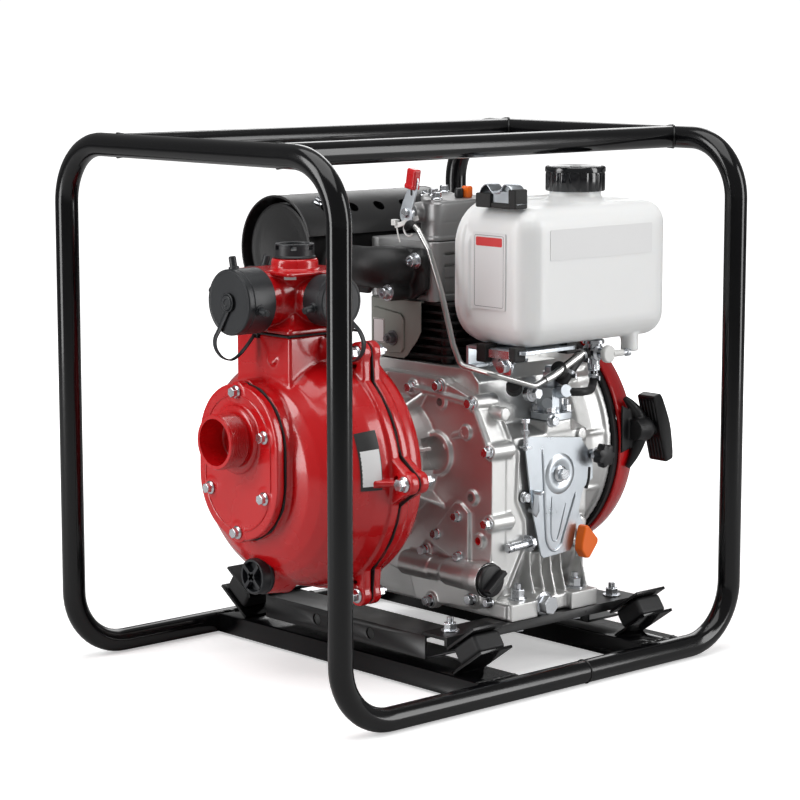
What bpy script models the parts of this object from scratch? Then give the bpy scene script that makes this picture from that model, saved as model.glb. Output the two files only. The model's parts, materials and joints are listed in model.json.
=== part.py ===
"""Portable diesel fire pump in a tubular carrying cage.

Frame: the origin is on the floor at the centre of the cage, +X points to the
fuel-tank side, +Y from the pump to the recoil starter, +Z up. The crankshaft
and the pump shaft share one axis along Y.
"""

import math

import bmesh
import bpy
from mathutils import Matrix, Vector

# Clearance between pieces that touch
GAP = 0.0003

# Carrying cage, one-inch tube, centreline dimensions
TUBE_R = 0.0127
CAGE_HALF_W = 0.2273
CAGE_HALF_L = 0.2931
CAGE_BOTTOM = 0.0127
CAGE_TOP = 0.5792
BEND_R = 0.066
RUNNER_JOINT_Y = 0.055
TOP_RAIL_X = 0.1333

# Cross members welded between the runners
MEMBER_TOP = 0.0245
MEMBER_WIDTH = 0.059
MEMBER_HEIGHT = 0.0215
MEMBER_WALL = 0.003
FRONT_MEMBER_Y = -0.068
REAR_MEMBER_Y = 0.184

# Rubber-mounted subframe
CHANNEL_TOP = 0.0595
CHANNEL_HEIGHT = 0.026
CHANNEL_WIDTH = 0.050
CHANNEL_HALF_LENGTH = 0.1345
RAIL_X = 0.149
RAIL_WIDTH = 0.038
RAIL_TOP = 0.0638
RAIL_WALL = 0.004
RAIL_LIP = 0.010
MOUNT_TILT = math.radians(35)
MOUNT_X = 0.192
MOUNT_Z = 0.0535
MOUNT_RUBBER = 0.022
MOUNT_PLATE = 0.003
MOUNT_SIZE = 0.046

# Common axis of crankshaft and pump
AXIS_Z = 0.232

# Pump
FLANGE_R = 0.134
LUG_PITCH_R = 0.151
LUG_R = 0.0125
LUG_COUNT = 6
FLANGE_T = 0.012
SPLIT_Y = -0.1255
CASING_GASKET_T = 0.0012
CASING_WALL = 0.006
PAD_FACE_Y = -0.2265
COVER_Z = 0.248
COVER_HALF_W = 0.0655
COVER_HALF_H = 0.084
COVER_T = 0.010
SUCTION_Z = 0.2727
SUCTION_R = 0.0298
SUCTION_BORE_R = 0.025
SUCTION_MOUTH_Y = -0.2705
COVER_BOLTS = ((0.0, 0.0755), (0.0455, 0.032), (0.0455, -0.033),
               (0.0, -0.0755), (-0.0455, -0.033), (-0.0455, 0.032))
NECK_Y = -0.159
NECK_HALF = 0.0445
NECK_TOP = 0.3812
DRAIN_Z = 0.1215
DRAIN_FACE_Y = -0.206

# Discharge head
OUTLET_Z = 0.4187
FRONT_CAP_R = 0.035
SIDE_CAP_R = 0.0275
FRONT_CAP_FACE = 0.0905
SIDE_CAP_FACE = 0.0765
FRONT_CAP_LENGTH = 0.036
SIDE_CAP_LENGTH = 0.031
HEAD_PLATE_Z = 0.4455
HEAD_TOP = 0.4600

# Spanner pins: degrees up from +X on the front cap and up from -Y on the side caps
PIN_SETBACK = 0.014
CAP_PINS = {"front": (-11, 103, 169), "right": (-11, 109, 229), "left": (-11, 109, 229)}

# Moulded straps, from each cap's boss down and back to the foot of the head.
STRAP_R = 0.0022
FRONT_STRAP = ((0.0, -0.2505, 0.4187), (-0.0040, -0.2505, 0.4090), (-0.0105, -0.2512, 0.3960),
               (-0.0180, -0.2528, 0.3840), (-0.0205, -0.2520, 0.3730), (-0.0200, -0.2470, 0.3630),
               (-0.0185, -0.2400, 0.3568), (-0.0180, -0.2320, 0.3548), (-0.0160, -0.2240, 0.3585),
               (-0.0125, -0.2165, 0.3675), (-0.0100, -0.2095, 0.3780))
SIDE_STRAP = ((0.0775, -0.159, 0.4187), (0.0780, -0.156, 0.4085), (0.0850, -0.152, 0.3985),
              (0.0935, -0.149, 0.3885), (0.0975, -0.147, 0.3770), (0.0950, -0.147, 0.3655),
              (0.0870, -0.148, 0.3580), (0.0770, -0.150, 0.3555), (0.0670, -0.152, 0.3590),
              (0.0580, -0.154, 0.3670), (0.0515, -0.156, 0.3780))
STRAPS = {
    "front": FRONT_STRAP,
    "right": SIDE_STRAP,
    "left": tuple((-x, y, z) for x, y, z in SIDE_STRAP),
}

# Engine
CASE_FRONT_Y = 0.0
CASE_REAR_Y = 0.140
CASE_BASE_Z = RAIL_TOP + GAP
CASE_TOP_Z = 0.335
CASE_WALL = 0.008
CYLINDER_Y = 0.060
BORE_R = 0.040
FIN_COUNT = 7
CYLINDER_TOP = 0.4030
HEAD_BLOCK_TOP = 0.4700
ROCKER_TOP = 0.5150
CRANK_THROW = 0.030
CRANK_PIN_R = 0.011
SHAFT_R = 0.0125

# Fan housing and recoil starter
HOUSING_R = 0.1295
FLANGE_BLACK_R = 0.1340
DOME_R = 0.1360
DOME_REAR_Y = 0.262
GUIDE_X = 0.1455
GUIDE_Z = 0.2500
HANDLE_Y = 0.2550
HANDLE_LENGTH = 0.082
HANDLE_LEAN = math.radians(-16)

# Exhaust
MUFFLER_X = -0.126
MUFFLER_Z = 0.4546
MUFFLER_R = 0.053
MUFFLER_FRONT_Y = -0.075
MUFFLER_REAR_Y = 0.150
SHIELD_R = 0.0615
ELBOW_Z = 0.4410

# Fuel tank
TANK_LOW = (0.070, 0.004, 0.3600)
TANK_HIGH = (0.183, 0.243, 0.5150)
TANK_WALL = 0.003
TANK_BEVEL = 0.022
FILLER_X = 0.126
FILLER_Y = 0.140

# Controls
PLATE_X = 0.1545
SPEED_PIVOT = (0.097, 0.2135)

pieces = bpy.data.collections.new("portable_fire_pump")
cutters = bpy.data.collections.new("cutters")


# ---------------------------------------------------------------- helpers

def clear_scene():
    for obj in list(bpy.data.objects):
        bpy.data.objects.remove(obj, do_unlink=True)
    bpy.context.scene.collection.children.link(pieces)
    bpy.context.scene.collection.children.link(cutters)


def material(name, colour, metallic=0.0, roughness=0.5):
    made = bpy.data.materials.new(name)
    made.use_nodes = True
    shader = made.node_tree.nodes["Principled BSDF"]
    shader.inputs["Base Color"].default_value = (*colour, 1.0)
    shader.inputs["Metallic"].default_value = metallic
    shader.inputs["Roughness"].default_value = roughness
    return made


def add(name, mesh, skin=None):
    """A visible piece when it has a skin, a hidden tool for a Boolean without."""
    obj = bpy.data.objects.new(name, mesh)
    if skin is None:
        cutters.objects.link(obj)
        obj.hide_render = True
        obj.display_type = "WIRE"
    else:
        mesh.materials.append(skin)
        pieces.objects.link(obj)
    return obj


def from_bmesh(name, bm, skin=None):
    bmesh.ops.recalc_face_normals(bm, faces=bm.faces)
    mesh = bpy.data.meshes.new(name)
    bm.to_mesh(mesh)
    bm.free()
    return add(name, mesh, skin)


def box(name, low, high, skin=None, turn=None):
    """Axis-aligned box, optionally turned about its centre by a matrix."""
    low, high = Vector(low), Vector(high)
    bm = bmesh.new()
    bmesh.ops.create_cube(bm, size=1.0)
    bmesh.ops.scale(bm, vec=high - low, verts=bm.verts)
    if turn is not None:
        bmesh.ops.transform(bm, matrix=turn, verts=bm.verts)
    bmesh.ops.translate(bm, vec=(low + high) / 2, verts=bm.verts)
    return from_bmesh(name, bm, skin)


AXIS_TURN = {
    "X": Matrix.Rotation(math.pi / 2, 4, "Y"),
    "Y": Matrix.Rotation(-math.pi / 2, 4, "X"),
    "Z": Matrix.Identity(4),
}


def rod(name, start, length, radius, axis, skin=None, sides=24, top_radius=None):
    """Cylinder or cone from a start point along +X, +Y or +Z."""
    bm = bmesh.new()
    bmesh.ops.create_cone(
        bm, cap_ends=True, segments=sides, radius1=radius,
        radius2=radius if top_radius is None else top_radius, depth=length)
    bmesh.ops.translate(bm, vec=(0, 0, length / 2), verts=bm.verts)
    bmesh.ops.transform(bm, matrix=AXIS_TURN[axis], verts=bm.verts)
    bmesh.ops.translate(bm, vec=start, verts=bm.verts)
    return from_bmesh(name, bm, skin)


def prism(name, outline, start, end, plane, skin=None):
    """Closed outline pushed from start to end along the axis normal to its plane."""
    bm = bmesh.new()
    place = {
        "XZ": lambda a, b, n: (a, n, b),
        "YZ": lambda a, b, n: (n, a, b),
        "XY": lambda a, b, n: (a, b, n),
    }[plane]
    near = [bm.verts.new(place(a, b, start)) for a, b in outline]
    far = [bm.verts.new(place(a, b, end)) for a, b in outline]
    bm.faces.new(near)
    bm.faces.new(far)
    for index, vert in enumerate(near):
        after = (index + 1) % len(near)
        bm.faces.new((vert, near[after], far[after], far[index]))
    return from_bmesh(name, bm, skin)


def turned(name, profile, axis, centre, skin=None, steps=32):
    """Solid of revolution: (radius, height) points run down the outer side."""
    mesh = bpy.data.meshes.new(name)
    closed = min(radius for radius, _ in profile) > 0
    edges = [(i, i + 1) for i in range(len(profile) - 1)]
    if closed:
        edges.append((len(profile) - 1, 0))
    mesh.from_pydata([(r, 0, h) for r, h in profile], edges, [])
    obj = add(name, mesh, skin)
    screw = obj.modifiers.new("turn", "SCREW")
    screw.axis = "Z"
    screw.steps = steps
    screw.render_steps = steps
    screw.use_merge_vertices = True
    screw.merge_threshold = 0.00001
    obj.matrix_world = Matrix.Translation(centre) @ AXIS_TURN[axis]
    return obj


def solid(obj):
    """Replace a modifier stack or curve by its evaluated mesh, in world space."""
    graph = bpy.context.evaluated_depsgraph_get()
    mesh = bpy.data.meshes.new_from_object(obj.evaluated_get(graph))
    mesh.transform(obj.matrix_world)
    bm = bmesh.new()
    bm.from_mesh(mesh)
    bmesh.ops.remove_doubles(bm, verts=bm.verts, dist=0.00001)
    bmesh.ops.recalc_face_normals(bm, faces=bm.faces)
    bm.to_mesh(mesh)
    bm.free()
    name = obj.name
    hidden = obj.hide_render
    bpy.data.objects.remove(obj, do_unlink=True)
    made = bpy.data.objects.new(name, mesh)
    (cutters if hidden else pieces).objects.link(made)
    made.hide_render = hidden
    made.display_type = "WIRE" if hidden else "TEXTURED"
    return made


def boolean(target, tool, operation):
    step = target.modifiers.new(tool.name, "BOOLEAN")
    step.operation = operation
    step.object = tool
    step.solver = "EXACT"


def cut(target, *tools):
    for tool in tools:
        boolean(target, tool, "DIFFERENCE")


def join(target, *tools):
    for tool in tools:
        boolean(target, tool, "UNION")


def bevel(obj, width, segments=2, angle=40):
    step = obj.modifiers.new("bevel", "BEVEL")
    step.width = width
    step.segments = segments
    step.limit_method = "ANGLE"
    step.angle_limit = math.radians(angle)


def filleted(corners, radius, steps=7):
    """Polyline through the corners with each inner corner turned into an arc."""
    corners = [Vector(c) for c in corners]
    path = [corners[0]]
    for before, corner, after in zip(corners, corners[1:], corners[2:]):
        into = (corner - before).normalized()
        out = (after - corner).normalized()
        turn = into.angle(out)
        trim = radius * math.tan(turn / 2)
        centre = corner + (out - into).normalized() * (radius / math.cos(turn / 2))
        spin = into.cross(out).normalized()
        arm = corner - into * trim - centre
        for step in range(steps + 1):
            path.append(centre + Matrix.Rotation(turn * step / steps, 3, spin) @ arm)
    path.append(corners[-1])
    return path


def tube(name, path, radius, skin=None, resolution=2):
    curve = bpy.data.curves.new(name, "CURVE")
    curve.dimensions = "3D"
    curve.bevel_depth = radius
    curve.bevel_resolution = resolution
    curve.use_fill_caps = True
    spline = curve.splines.new("POLY")
    spline.points.add(len(path) - 1)
    for point, place in zip(spline.points, path):
        point.co = (*place, 1.0)
    return add(name, curve, skin)


def smooth_route(points, steps=3):
    """Catmull-Rom curve through the points, which passes through every one of them."""
    points = [Vector(p) for p in points]
    padded = [2 * points[0] - points[1]] + points + [2 * points[-1] - points[-2]]
    route = []
    for a, b, c, d in zip(padded, padded[1:], padded[2:], padded[3:]):
        for step in range(steps):
            t = step / steps
            route.append(0.5 * (2 * b + (c - a) * t + (2 * a - 5 * b + 4 * c - d) * t * t
                                + (3 * b - a - 3 * c + d) * t * t * t))
    return route + [points[-1]]


def racetrack(half_w, half_h, centre_z, steps=10):
    """Outline with straight sides and half-round ends."""
    points = []
    straight = half_h - half_w
    for end in (1, -1):
        for step in range(steps + 1):
            angle = math.pi * step / steps + (0 if end == 1 else math.pi)
            points.append((half_w * math.cos(angle),
                           centre_z + end * straight + half_w * math.sin(angle)))
    return points


def lugged_flange(radius, clearance=0.0):
    """Round flange outline with bolt lugs standing out of its edge."""
    points = []
    spread = math.radians(13)
    pitch = 2 * math.pi / LUG_COUNT
    arc_steps = 4
    for lug in range(LUG_COUNT):
        middle = lug * pitch
        for step in range(1, arc_steps):
            angle = middle - pitch / 2 + (pitch / 2 - spread) * step / arc_steps
            points.append((radius * math.cos(angle), radius * math.sin(angle)))
        points.append((radius * math.cos(middle - spread), radius * math.sin(middle - spread)))
        for step in range(-2, 3):
            angle = middle + math.radians(32) * step
            points.append((LUG_PITCH_R * math.cos(middle) + (LUG_R + clearance) * math.cos(angle),
                           LUG_PITCH_R * math.sin(middle) + (LUG_R + clearance) * math.sin(angle)))
        points.append((radius * math.cos(middle + spread), radius * math.sin(middle + spread)))
        for step in range(1, arc_steps):
            angle = middle + spread + (pitch / 2 - spread) * step / arc_steps
            points.append((radius * math.cos(angle), radius * math.sin(angle)))
    return [(x, AXIS_Z + z) for x, z in points]


def place_origin(obj, point):
    """Move the object's origin to a point without moving its mesh."""
    shift = Vector(point)
    obj.data.transform(Matrix.Translation(-shift) @ obj.matrix_world)
    obj.matrix_world = Matrix.Translation(shift)


# ---------------------------------------------------------------- cage

def make_cage(steel):
    for name, end in (("front_hoop", -1), ("rear_hoop", 1)):
        joint = RUNNER_JOINT_Y - end * -GAP / 2
        corners = [
            (CAGE_HALF_W, joint, CAGE_BOTTOM),
            (CAGE_HALF_W, end * CAGE_HALF_L, CAGE_BOTTOM),
            (CAGE_HALF_W, end * CAGE_HALF_L, CAGE_TOP),
            (-CAGE_HALF_W, end * CAGE_HALF_L, CAGE_TOP),
            (-CAGE_HALF_W, end * CAGE_HALF_L, CAGE_BOTTOM),
            (-CAGE_HALF_W, joint, CAGE_BOTTOM),
        ]
        tube(name, filleted(corners, BEND_R), TUBE_R, steel)

    saddles = []
    for end in (-1, 1):
        start = (-CAGE_HALF_W, end * CAGE_HALF_L, CAGE_TOP)
        saddles.append(rod(f"saddle_{end}", start, 2 * CAGE_HALF_W, TUBE_R + GAP, "X"))
    for name, side in (("right_top_rail", 1), ("left_top_rail", -1)):
        start = (side * TOP_RAIL_X, -CAGE_HALF_L, CAGE_TOP)
        rail = rod(name, start, 2 * CAGE_HALF_L, TUBE_R - GAP, "Y", steel, sides=16)
        cut(rail, *saddles)

    runners = []
    for side in (-1, 1):
        start = (side * CAGE_HALF_W, -CAGE_HALF_L, CAGE_BOTTOM)
        runners.append(rod(f"runner_{side}", start, 2 * CAGE_HALF_L, TUBE_R + GAP, "Y"))
    half = MEMBER_WIDTH / 2
    wall = MEMBER_WALL
    low = MEMBER_TOP - MEMBER_HEIGHT
    for name, y in (("front_cross_member", FRONT_MEMBER_Y), ("rear_cross_member", REAR_MEMBER_Y)):
        outline = [
            (y - half, low), (y - half, MEMBER_TOP), (y + half, MEMBER_TOP), (y + half, low),
            (y + half - wall, low), (y + half - wall, MEMBER_TOP - wall),
            (y - half + wall, MEMBER_TOP - wall), (y - half + wall, low),
        ]
        member = prism(name, outline, -CAGE_HALF_W, CAGE_HALF_W, "YZ", steel)
        for side in (-1, 1):
            join(member, mount_plate(f"{name}_plate_{side}", side, y, -1, 0.0075))
        cut(member, *runners)


def mount_plate(name, side, y, face, extra):
    """Sloping plate on one face of a rubber mount; face -1 is the cage side."""
    distance = MOUNT_RUBBER / 2 + MOUNT_PLATE / 2 + GAP
    slope = Vector((side * math.sin(MOUNT_TILT), 0, -math.cos(MOUNT_TILT)))
    centre = Vector((side * MOUNT_X, y, MOUNT_Z)) - face * slope * distance
    along = Vector((side * math.cos(MOUNT_TILT), 0, math.sin(MOUNT_TILT)))
    centre += face * along * extra / 2
    size = Vector((MOUNT_SIZE + extra, MOUNT_SIZE, MOUNT_PLATE)) / 2
    turn = Matrix.Rotation(-side * MOUNT_TILT, 4, "Y")
    return box(name, centre - size, centre + size, turn=turn)


def make_subframe(steel, rubber):
    half = CHANNEL_WIDTH / 2
    wall = MEMBER_WALL
    low = CHANNEL_TOP - CHANNEL_HEIGHT
    for name, y in (("subframe_front_channel", FRONT_MEMBER_Y),
                    ("subframe_rear_channel", REAR_MEMBER_Y)):
        outline = [
            (y - half, low), (y - half, CHANNEL_TOP), (y + half, CHANNEL_TOP),
            (y + half, CHANNEL_TOP - wall), (y - half + wall, CHANNEL_TOP - wall),
            (y - half + wall, low + wall), (y + half, low + wall), (y + half, low),
        ]
        channel = prism(name, outline, -CHANNEL_HALF_LENGTH, CHANNEL_HALF_LENGTH, "YZ", steel)
        for side in (-1, 1):
            start = (side * 0.045, y - CHANNEL_WIDTH, low + 0.013)
            cut(channel, rod(f"{name}_hole_{side}", start, CHANNEL_WIDTH, 0.006, "Y", sides=12))

    for name, side in (("subframe_right_rail", 1), ("subframe_left_rail", -1)):
        outer = side * (RAIL_X + RAIL_WIDTH / 2)
        inner = side * (RAIL_X - RAIL_WIDTH / 2)
        lip = outer - side * RAIL_WALL
        outline = [
            (inner, RAIL_TOP), (outer, RAIL_TOP), (outer, RAIL_TOP - RAIL_LIP),
            (lip, RAIL_TOP - RAIL_LIP), (lip, RAIL_TOP - RAIL_WALL), (inner, RAIL_TOP - RAIL_WALL),
        ]
        rail = prism(name, outline, FRONT_MEMBER_Y - half, REAR_MEMBER_Y + half, "XZ", steel)
        for y in (FRONT_MEMBER_Y, REAR_MEMBER_Y):
            join(rail, mount_plate(f"{name}_plate_{y:.3f}", side, y, 1, 0.004))

    for x_name, side in (("right", 1), ("left", -1)):
        for y_name, y in (("front", FRONT_MEMBER_Y), ("rear", REAR_MEMBER_Y)):
            size = Vector((MOUNT_SIZE - 0.008, MOUNT_SIZE - 0.006, MOUNT_RUBBER)) / 2
            centre = Vector((side * MOUNT_X, y, MOUNT_Z))
            turn = Matrix.Rotation(-side * MOUNT_TILT, 4, "Y")
            block = box(f"mount_{y_name}_{x_name}", centre - size, centre + size, rubber, turn)
            bevel(block, 0.006, 2)


# ---------------------------------------------------------------- pump

def make_pump(red, gasket, bronze, plastic):
    pad = racetrack(COVER_HALF_W, COVER_HALF_H, COVER_Z)
    port = racetrack(COVER_HALF_W - 0.022, COVER_HALF_H - 0.022, COVER_Z)
    front = SPLIT_Y - GAP - CASING_GASKET_T / 2

    # The turned profiles run from the front of the pump backwards.
    shell = [(0.0, -0.2215), (0.066, -0.2215), (0.088, -0.217), (0.102, -0.208), (0.113, -0.195),
             (0.122, -0.180), (0.128, -0.164), (0.1305, -0.148), (0.1315, front), (0.0, front)]
    casing = turned("pump_casing", [(r, -y) for r, y in shell], "Y", (0, 0, AXIS_Z), red, 36)
    casing.matrix_world = casing.matrix_world @ Matrix.Rotation(math.pi, 4, "X")
    join(casing, prism("casing_flange", lugged_flange(FLANGE_R), front - FLANGE_T, front, "XZ"))
    join(casing, prism("casing_pad", pad, PAD_FACE_Y, -0.180, "XZ"))
    join(casing, box("casing_neck", (-NECK_HALF, NECK_Y - NECK_HALF, 0.300),
                     (NECK_HALF, front, NECK_TOP)))
    join(casing, rod("casing_drain_boss", (0, DRAIN_FACE_Y, DRAIN_Z), 0.030, 0.0205, "Y"))
    spot = (0, DRAIN_FACE_Y - 0.020, DRAIN_Z)
    cut(casing, rod("casing_spot_face", spot, 0.020, 0.0215, "Y"))
    wall = CASING_WALL
    hollow = [(0.0, -0.2135), (0.064, -0.2135), (0.084, -0.210), (0.097, -0.201), (0.107, -0.190),
              (0.116, -0.176), (0.122, -0.161), (0.1245, -0.146), (0.1250, front + wall),
              (0.0, front + wall)]
    chamber = turned("casing_chamber", [(r, -y) for r, y in hollow], "Y", (0, 0, AXIS_Z), None, 32)
    chamber.matrix_world = chamber.matrix_world @ Matrix.Rotation(math.pi, 4, "X")
    cut(casing, chamber)
    cut(casing, prism("casing_port", port, PAD_FACE_Y - 0.01, -0.200, "XZ"))
    cut(casing, rod("casing_riser", (0, NECK_Y, 0.310), 0.090, 0.027, "Z"))
    cut(casing, rod("casing_drain_hole", (0, -0.22, DRAIN_Z), 0.050, 0.0105, "Y", sides=16))

    outline = lugged_flange(FLANGE_R - 0.0015, -0.001)
    ring = prism("casing_gasket", outline, SPLIT_Y - CASING_GASKET_T / 2,
                 SPLIT_Y + CASING_GASKET_T / 2, "XZ", gasket)
    cut(ring, rod("gasket_bore", (0, -0.14, AXIS_Z), 0.03, 0.1250, "Y", sides=32))

    back = SPLIT_Y + GAP + CASING_GASKET_T / 2
    rear = [(0.0, back), (0.1310, back), (0.1305, -0.098), (0.124, -0.088), (0.104, -0.082),
            (0.072, -0.076), (0.060, -0.064), (0.060, -0.0503), (0.0, -0.0503)]
    cover = turned("pump_rear_cover", [(r, -y) for r, y in rear], "Y", (0, 0, AXIS_Z), red, 36)
    cover.matrix_world = cover.matrix_world @ Matrix.Rotation(math.pi, 4, "X")
    join(cover, prism("rear_flange", lugged_flange(FLANGE_R), back, back + FLANGE_T, "XZ"))
    inner = [(0.0, back - 0.01), (0.118, back - 0.01), (0.116, -0.104), (0.030, -0.096),
             (0.0, -0.096)]
    recess = turned("rear_recess", [(r, -y) for r, y in inner], "Y", (0, 0, AXIS_Z), None, 32)
    recess.matrix_world = recess.matrix_world @ Matrix.Rotation(math.pi, 4, "X")
    cut(cover, recess)
    cut(cover, rod("rear_seal_seat", (0, -0.100, AXIS_Z), 0.018, 0.0225, "Y"))
    cut(cover, rod("rear_shaft_bore", (0, -0.100, AXIS_Z), 0.060, 0.0165, "Y"))

    seal = [(0.0222, 0.0125), (0.0222, 0.0), (0.0135, 0.0), (0.0135, 0.0125)]
    turned("shaft_seal", seal, "Y", (0, -0.0955, AXIS_Z), gasket, 24)

    hub = [(0.0265, 0.024), (0.0265, 0.012), (0.092, 0.0075), (0.092, 0.004), (0.0128, 0.004),
           (0.0128, 0.024)]
    impeller = turned("impeller", hub, "Y", (0, -0.1180, AXIS_Z), bronze, 24)
    impeller.matrix_world = impeller.matrix_world @ Matrix.Rotation(math.pi, 4, "X")
    vanes = 6
    for index in range(vanes):
        angle = 2 * math.pi * index / vanes
        turn = Matrix.Rotation(angle + 0.5, 4, "Y")
        middle = Vector((0.057 * math.cos(angle), -0.1300, AXIS_Z - 0.057 * math.sin(angle)))
        size = Vector((0.058, 0.016, 0.003)) / 2
        join(impeller, box(f"vane_{index}", middle - size, middle + size, turn=turn))

    seat = PAD_FACE_Y - GAP
    sheet = prism("suction_gasket", racetrack(COVER_HALF_W - 0.001, COVER_HALF_H - 0.001, COVER_Z),
                  seat - 0.0022, seat, "XZ", gasket)
    cut(sheet, prism("suction_gasket_hole", port, seat - 0.01, seat + 0.01, "XZ"))
    face = seat - 0.0022 - GAP
    plate = prism("suction_cover", pad, face - COVER_T, face, "XZ", red)
    join(plate, rod("suction_collar", (0, face - COVER_T - 0.006, SUCTION_Z), 0.012, 0.0365, "Y"))
    spigot = (0, SUCTION_MOUTH_Y, SUCTION_Z)
    join(plate, rod("suction_spigot", spigot, face - COVER_T - SUCTION_MOUTH_Y + 0.004, SUCTION_R,
                    "Y", sides=40))
    for index, (x, z) in enumerate(COVER_BOLTS):
        start = (x, face - COVER_T - 0.0055, COVER_Z + z)
        join(plate, rod(f"cover_bolt_{index}", start, 0.008, 0.0062, "Y", sides=6))
    cut(plate, rod("suction_bore", (0, SUCTION_MOUTH_Y - 0.01, SUCTION_Z), 0.06, SUCTION_BORE_R,
                   "Y", sides=32))

    thickness = 0.0172
    start = (0, DRAIN_FACE_Y - GAP - thickness, DRAIN_Z)
    plug = rod("drain_plug", start, thickness, 0.0205, "Y", plastic)
    join(plug, rod("drain_plug_stem", (0, -0.210, DRAIN_Z), 0.020, 0.0095, "Y", sides=16))
    place_origin(plug, start)


def make_head(red, gasket, plastic):
    sheet = box("head_gasket", (-NECK_HALF, NECK_Y - NECK_HALF, NECK_TOP + GAP),
                (NECK_HALF, NECK_Y + NECK_HALF, NECK_TOP + GAP + 0.0018), gasket)
    cut(sheet, rod("head_gasket_hole", (0, NECK_Y, NECK_TOP - 0.01), 0.03, 0.027, "Z"))

    base = NECK_TOP + 2 * GAP + 0.0018
    waist = [(NECK_HALF, base), (NECK_HALF, base + 0.007), (0.033, base + 0.012),
             (0.0265, base + 0.025), (0.0265, OUTLET_Z), (0.029, 0.432), (0.035, 0.4395),
             (NECK_HALF, HEAD_PLATE_Z), (NECK_HALF, HEAD_PLATE_Z + 0.0035)]
    rings = []
    bm = bmesh.new()
    for half, z in waist:
        ring = [bm.verts.new((sx * half, NECK_Y + sy * half, z))
                for sx, sy in ((1, 1), (-1, 1), (-1, -1), (1, -1))]
        rings.append(ring)
    bm.faces.new(rings[0])
    bm.faces.new(rings[-1])
    for low, high in zip(rings, rings[1:]):
        for index in range(4):
            after = (index + 1) % 4
            bm.faces.new((low[index], low[after], high[after], high[index]))
    head = from_bmesh("discharge_head", bm, red)
    join(head, rod("head_collar", (0, NECK_Y, HEAD_PLATE_Z), HEAD_TOP - HEAD_PLATE_Z, 0.0253, "Z"))

    outlets = (
        ("front", "Y", -1, FRONT_CAP_FACE, FRONT_CAP_R, FRONT_CAP_LENGTH, 0.0295),
        ("right", "X", 1, SIDE_CAP_FACE, SIDE_CAP_R, SIDE_CAP_LENGTH, 0.0235),
        ("left", "X", -1, SIDE_CAP_FACE, SIDE_CAP_R, SIDE_CAP_LENGTH, 0.0235),
    )
    for name, axis, sign, face, cap_r, cap_length, pipe_r in outlets:
        reach = face - 0.009

        def at(distance, length):
            """Start point of a rod that spans distance..distance+length outwards."""
            low = distance if sign > 0 else -(distance + length)
            if axis == "X":
                return (low, NECK_Y, OUTLET_Z)
            return (0, NECK_Y + low, OUTLET_Z)

        join(head, rod(f"outlet_{name}", at(0.0, reach), reach, pipe_r, axis, sides=24))
        cap = rod(f"{name}_cap", at(face - cap_length, cap_length), cap_length, cap_r, axis,
                  plastic, sides=28)
        depth = cap_length - 0.006
        cut(cap, rod(f"{name}_cap_hollow", at(face - cap_length - 0.002, depth), depth,
                     pipe_r + GAP, axis, sides=24))
        join(cap, rod(f"{name}_cap_boss", at(face - 0.002, 0.006), 0.006, 0.0078, axis, sides=16))
        for index, degrees in enumerate(CAP_PINS[name]):
            angle = math.radians(degrees)
            join(cap, cap_pin(f"{name}_cap_pin_{index}", axis, at(face - PIN_SETBACK, 0.0), angle,
                              cap_r))
        strap = tube(f"{name}_strap", smooth_route(STRAPS[name]), STRAP_R)
        join(cap, solid(strap))
        place_origin(cap, at(face - cap_length, 0.0))
    for name, axis, sign, face, cap_r, cap_length, pipe_r in outlets:
        length = face + 0.02
        low = -0.002 if sign > 0 else -length + 0.002
        start = (low, NECK_Y, OUTLET_Z) if axis == "X" else (0, NECK_Y + low, OUTLET_Z)
        cut(head, rod(f"outlet_bore_{name}", start, length, pipe_r - 0.005, axis, sides=20))
    cut(head, rod("head_riser", (0, NECK_Y, NECK_TOP - 0.01), 0.12, 0.0185, "Z"))

    top = HEAD_TOP + GAP
    plug = rod("priming_plug", (0, NECK_Y, top), 0.0155, 0.0225, "Z", plastic, sides=32)
    join(plug, rod("priming_plug_stem", (0, NECK_Y, top - 0.014), 0.020, 0.0180, "Z"))
    for index in range(3):
        turn = Matrix.Rotation(math.radians(60 * index + 17), 4, "Z")
        size = Vector((0.060, 0.0075, 0.008)) / 2
        middle = Vector((0, NECK_Y, top + 0.0155))
        cut(plug, box(f"plug_notch_{index}", middle - size, middle + size, turn=turn))
    place_origin(plug, (0, NECK_Y, top))


def cap_pin(name, axis, centre, angle, cap_r):
    """Short round lug standing radially out of a cap's rim."""
    bm = bmesh.new()
    bmesh.ops.create_cone(bm, cap_ends=True, segments=12, radius1=0.0042, radius2=0.0042,
                          depth=0.014)
    bmesh.ops.translate(bm, vec=(0, 0, cap_r + 0.004), verts=bm.verts)
    turn = Matrix.Rotation(math.pi / 2 - angle, 4, axis)
    bmesh.ops.transform(bm, matrix=turn, verts=bm.verts)
    bmesh.ops.translate(bm, vec=centre, verts=bm.verts)
    return from_bmesh(name, bm)


# ---------------------------------------------------------------- engine

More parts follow.
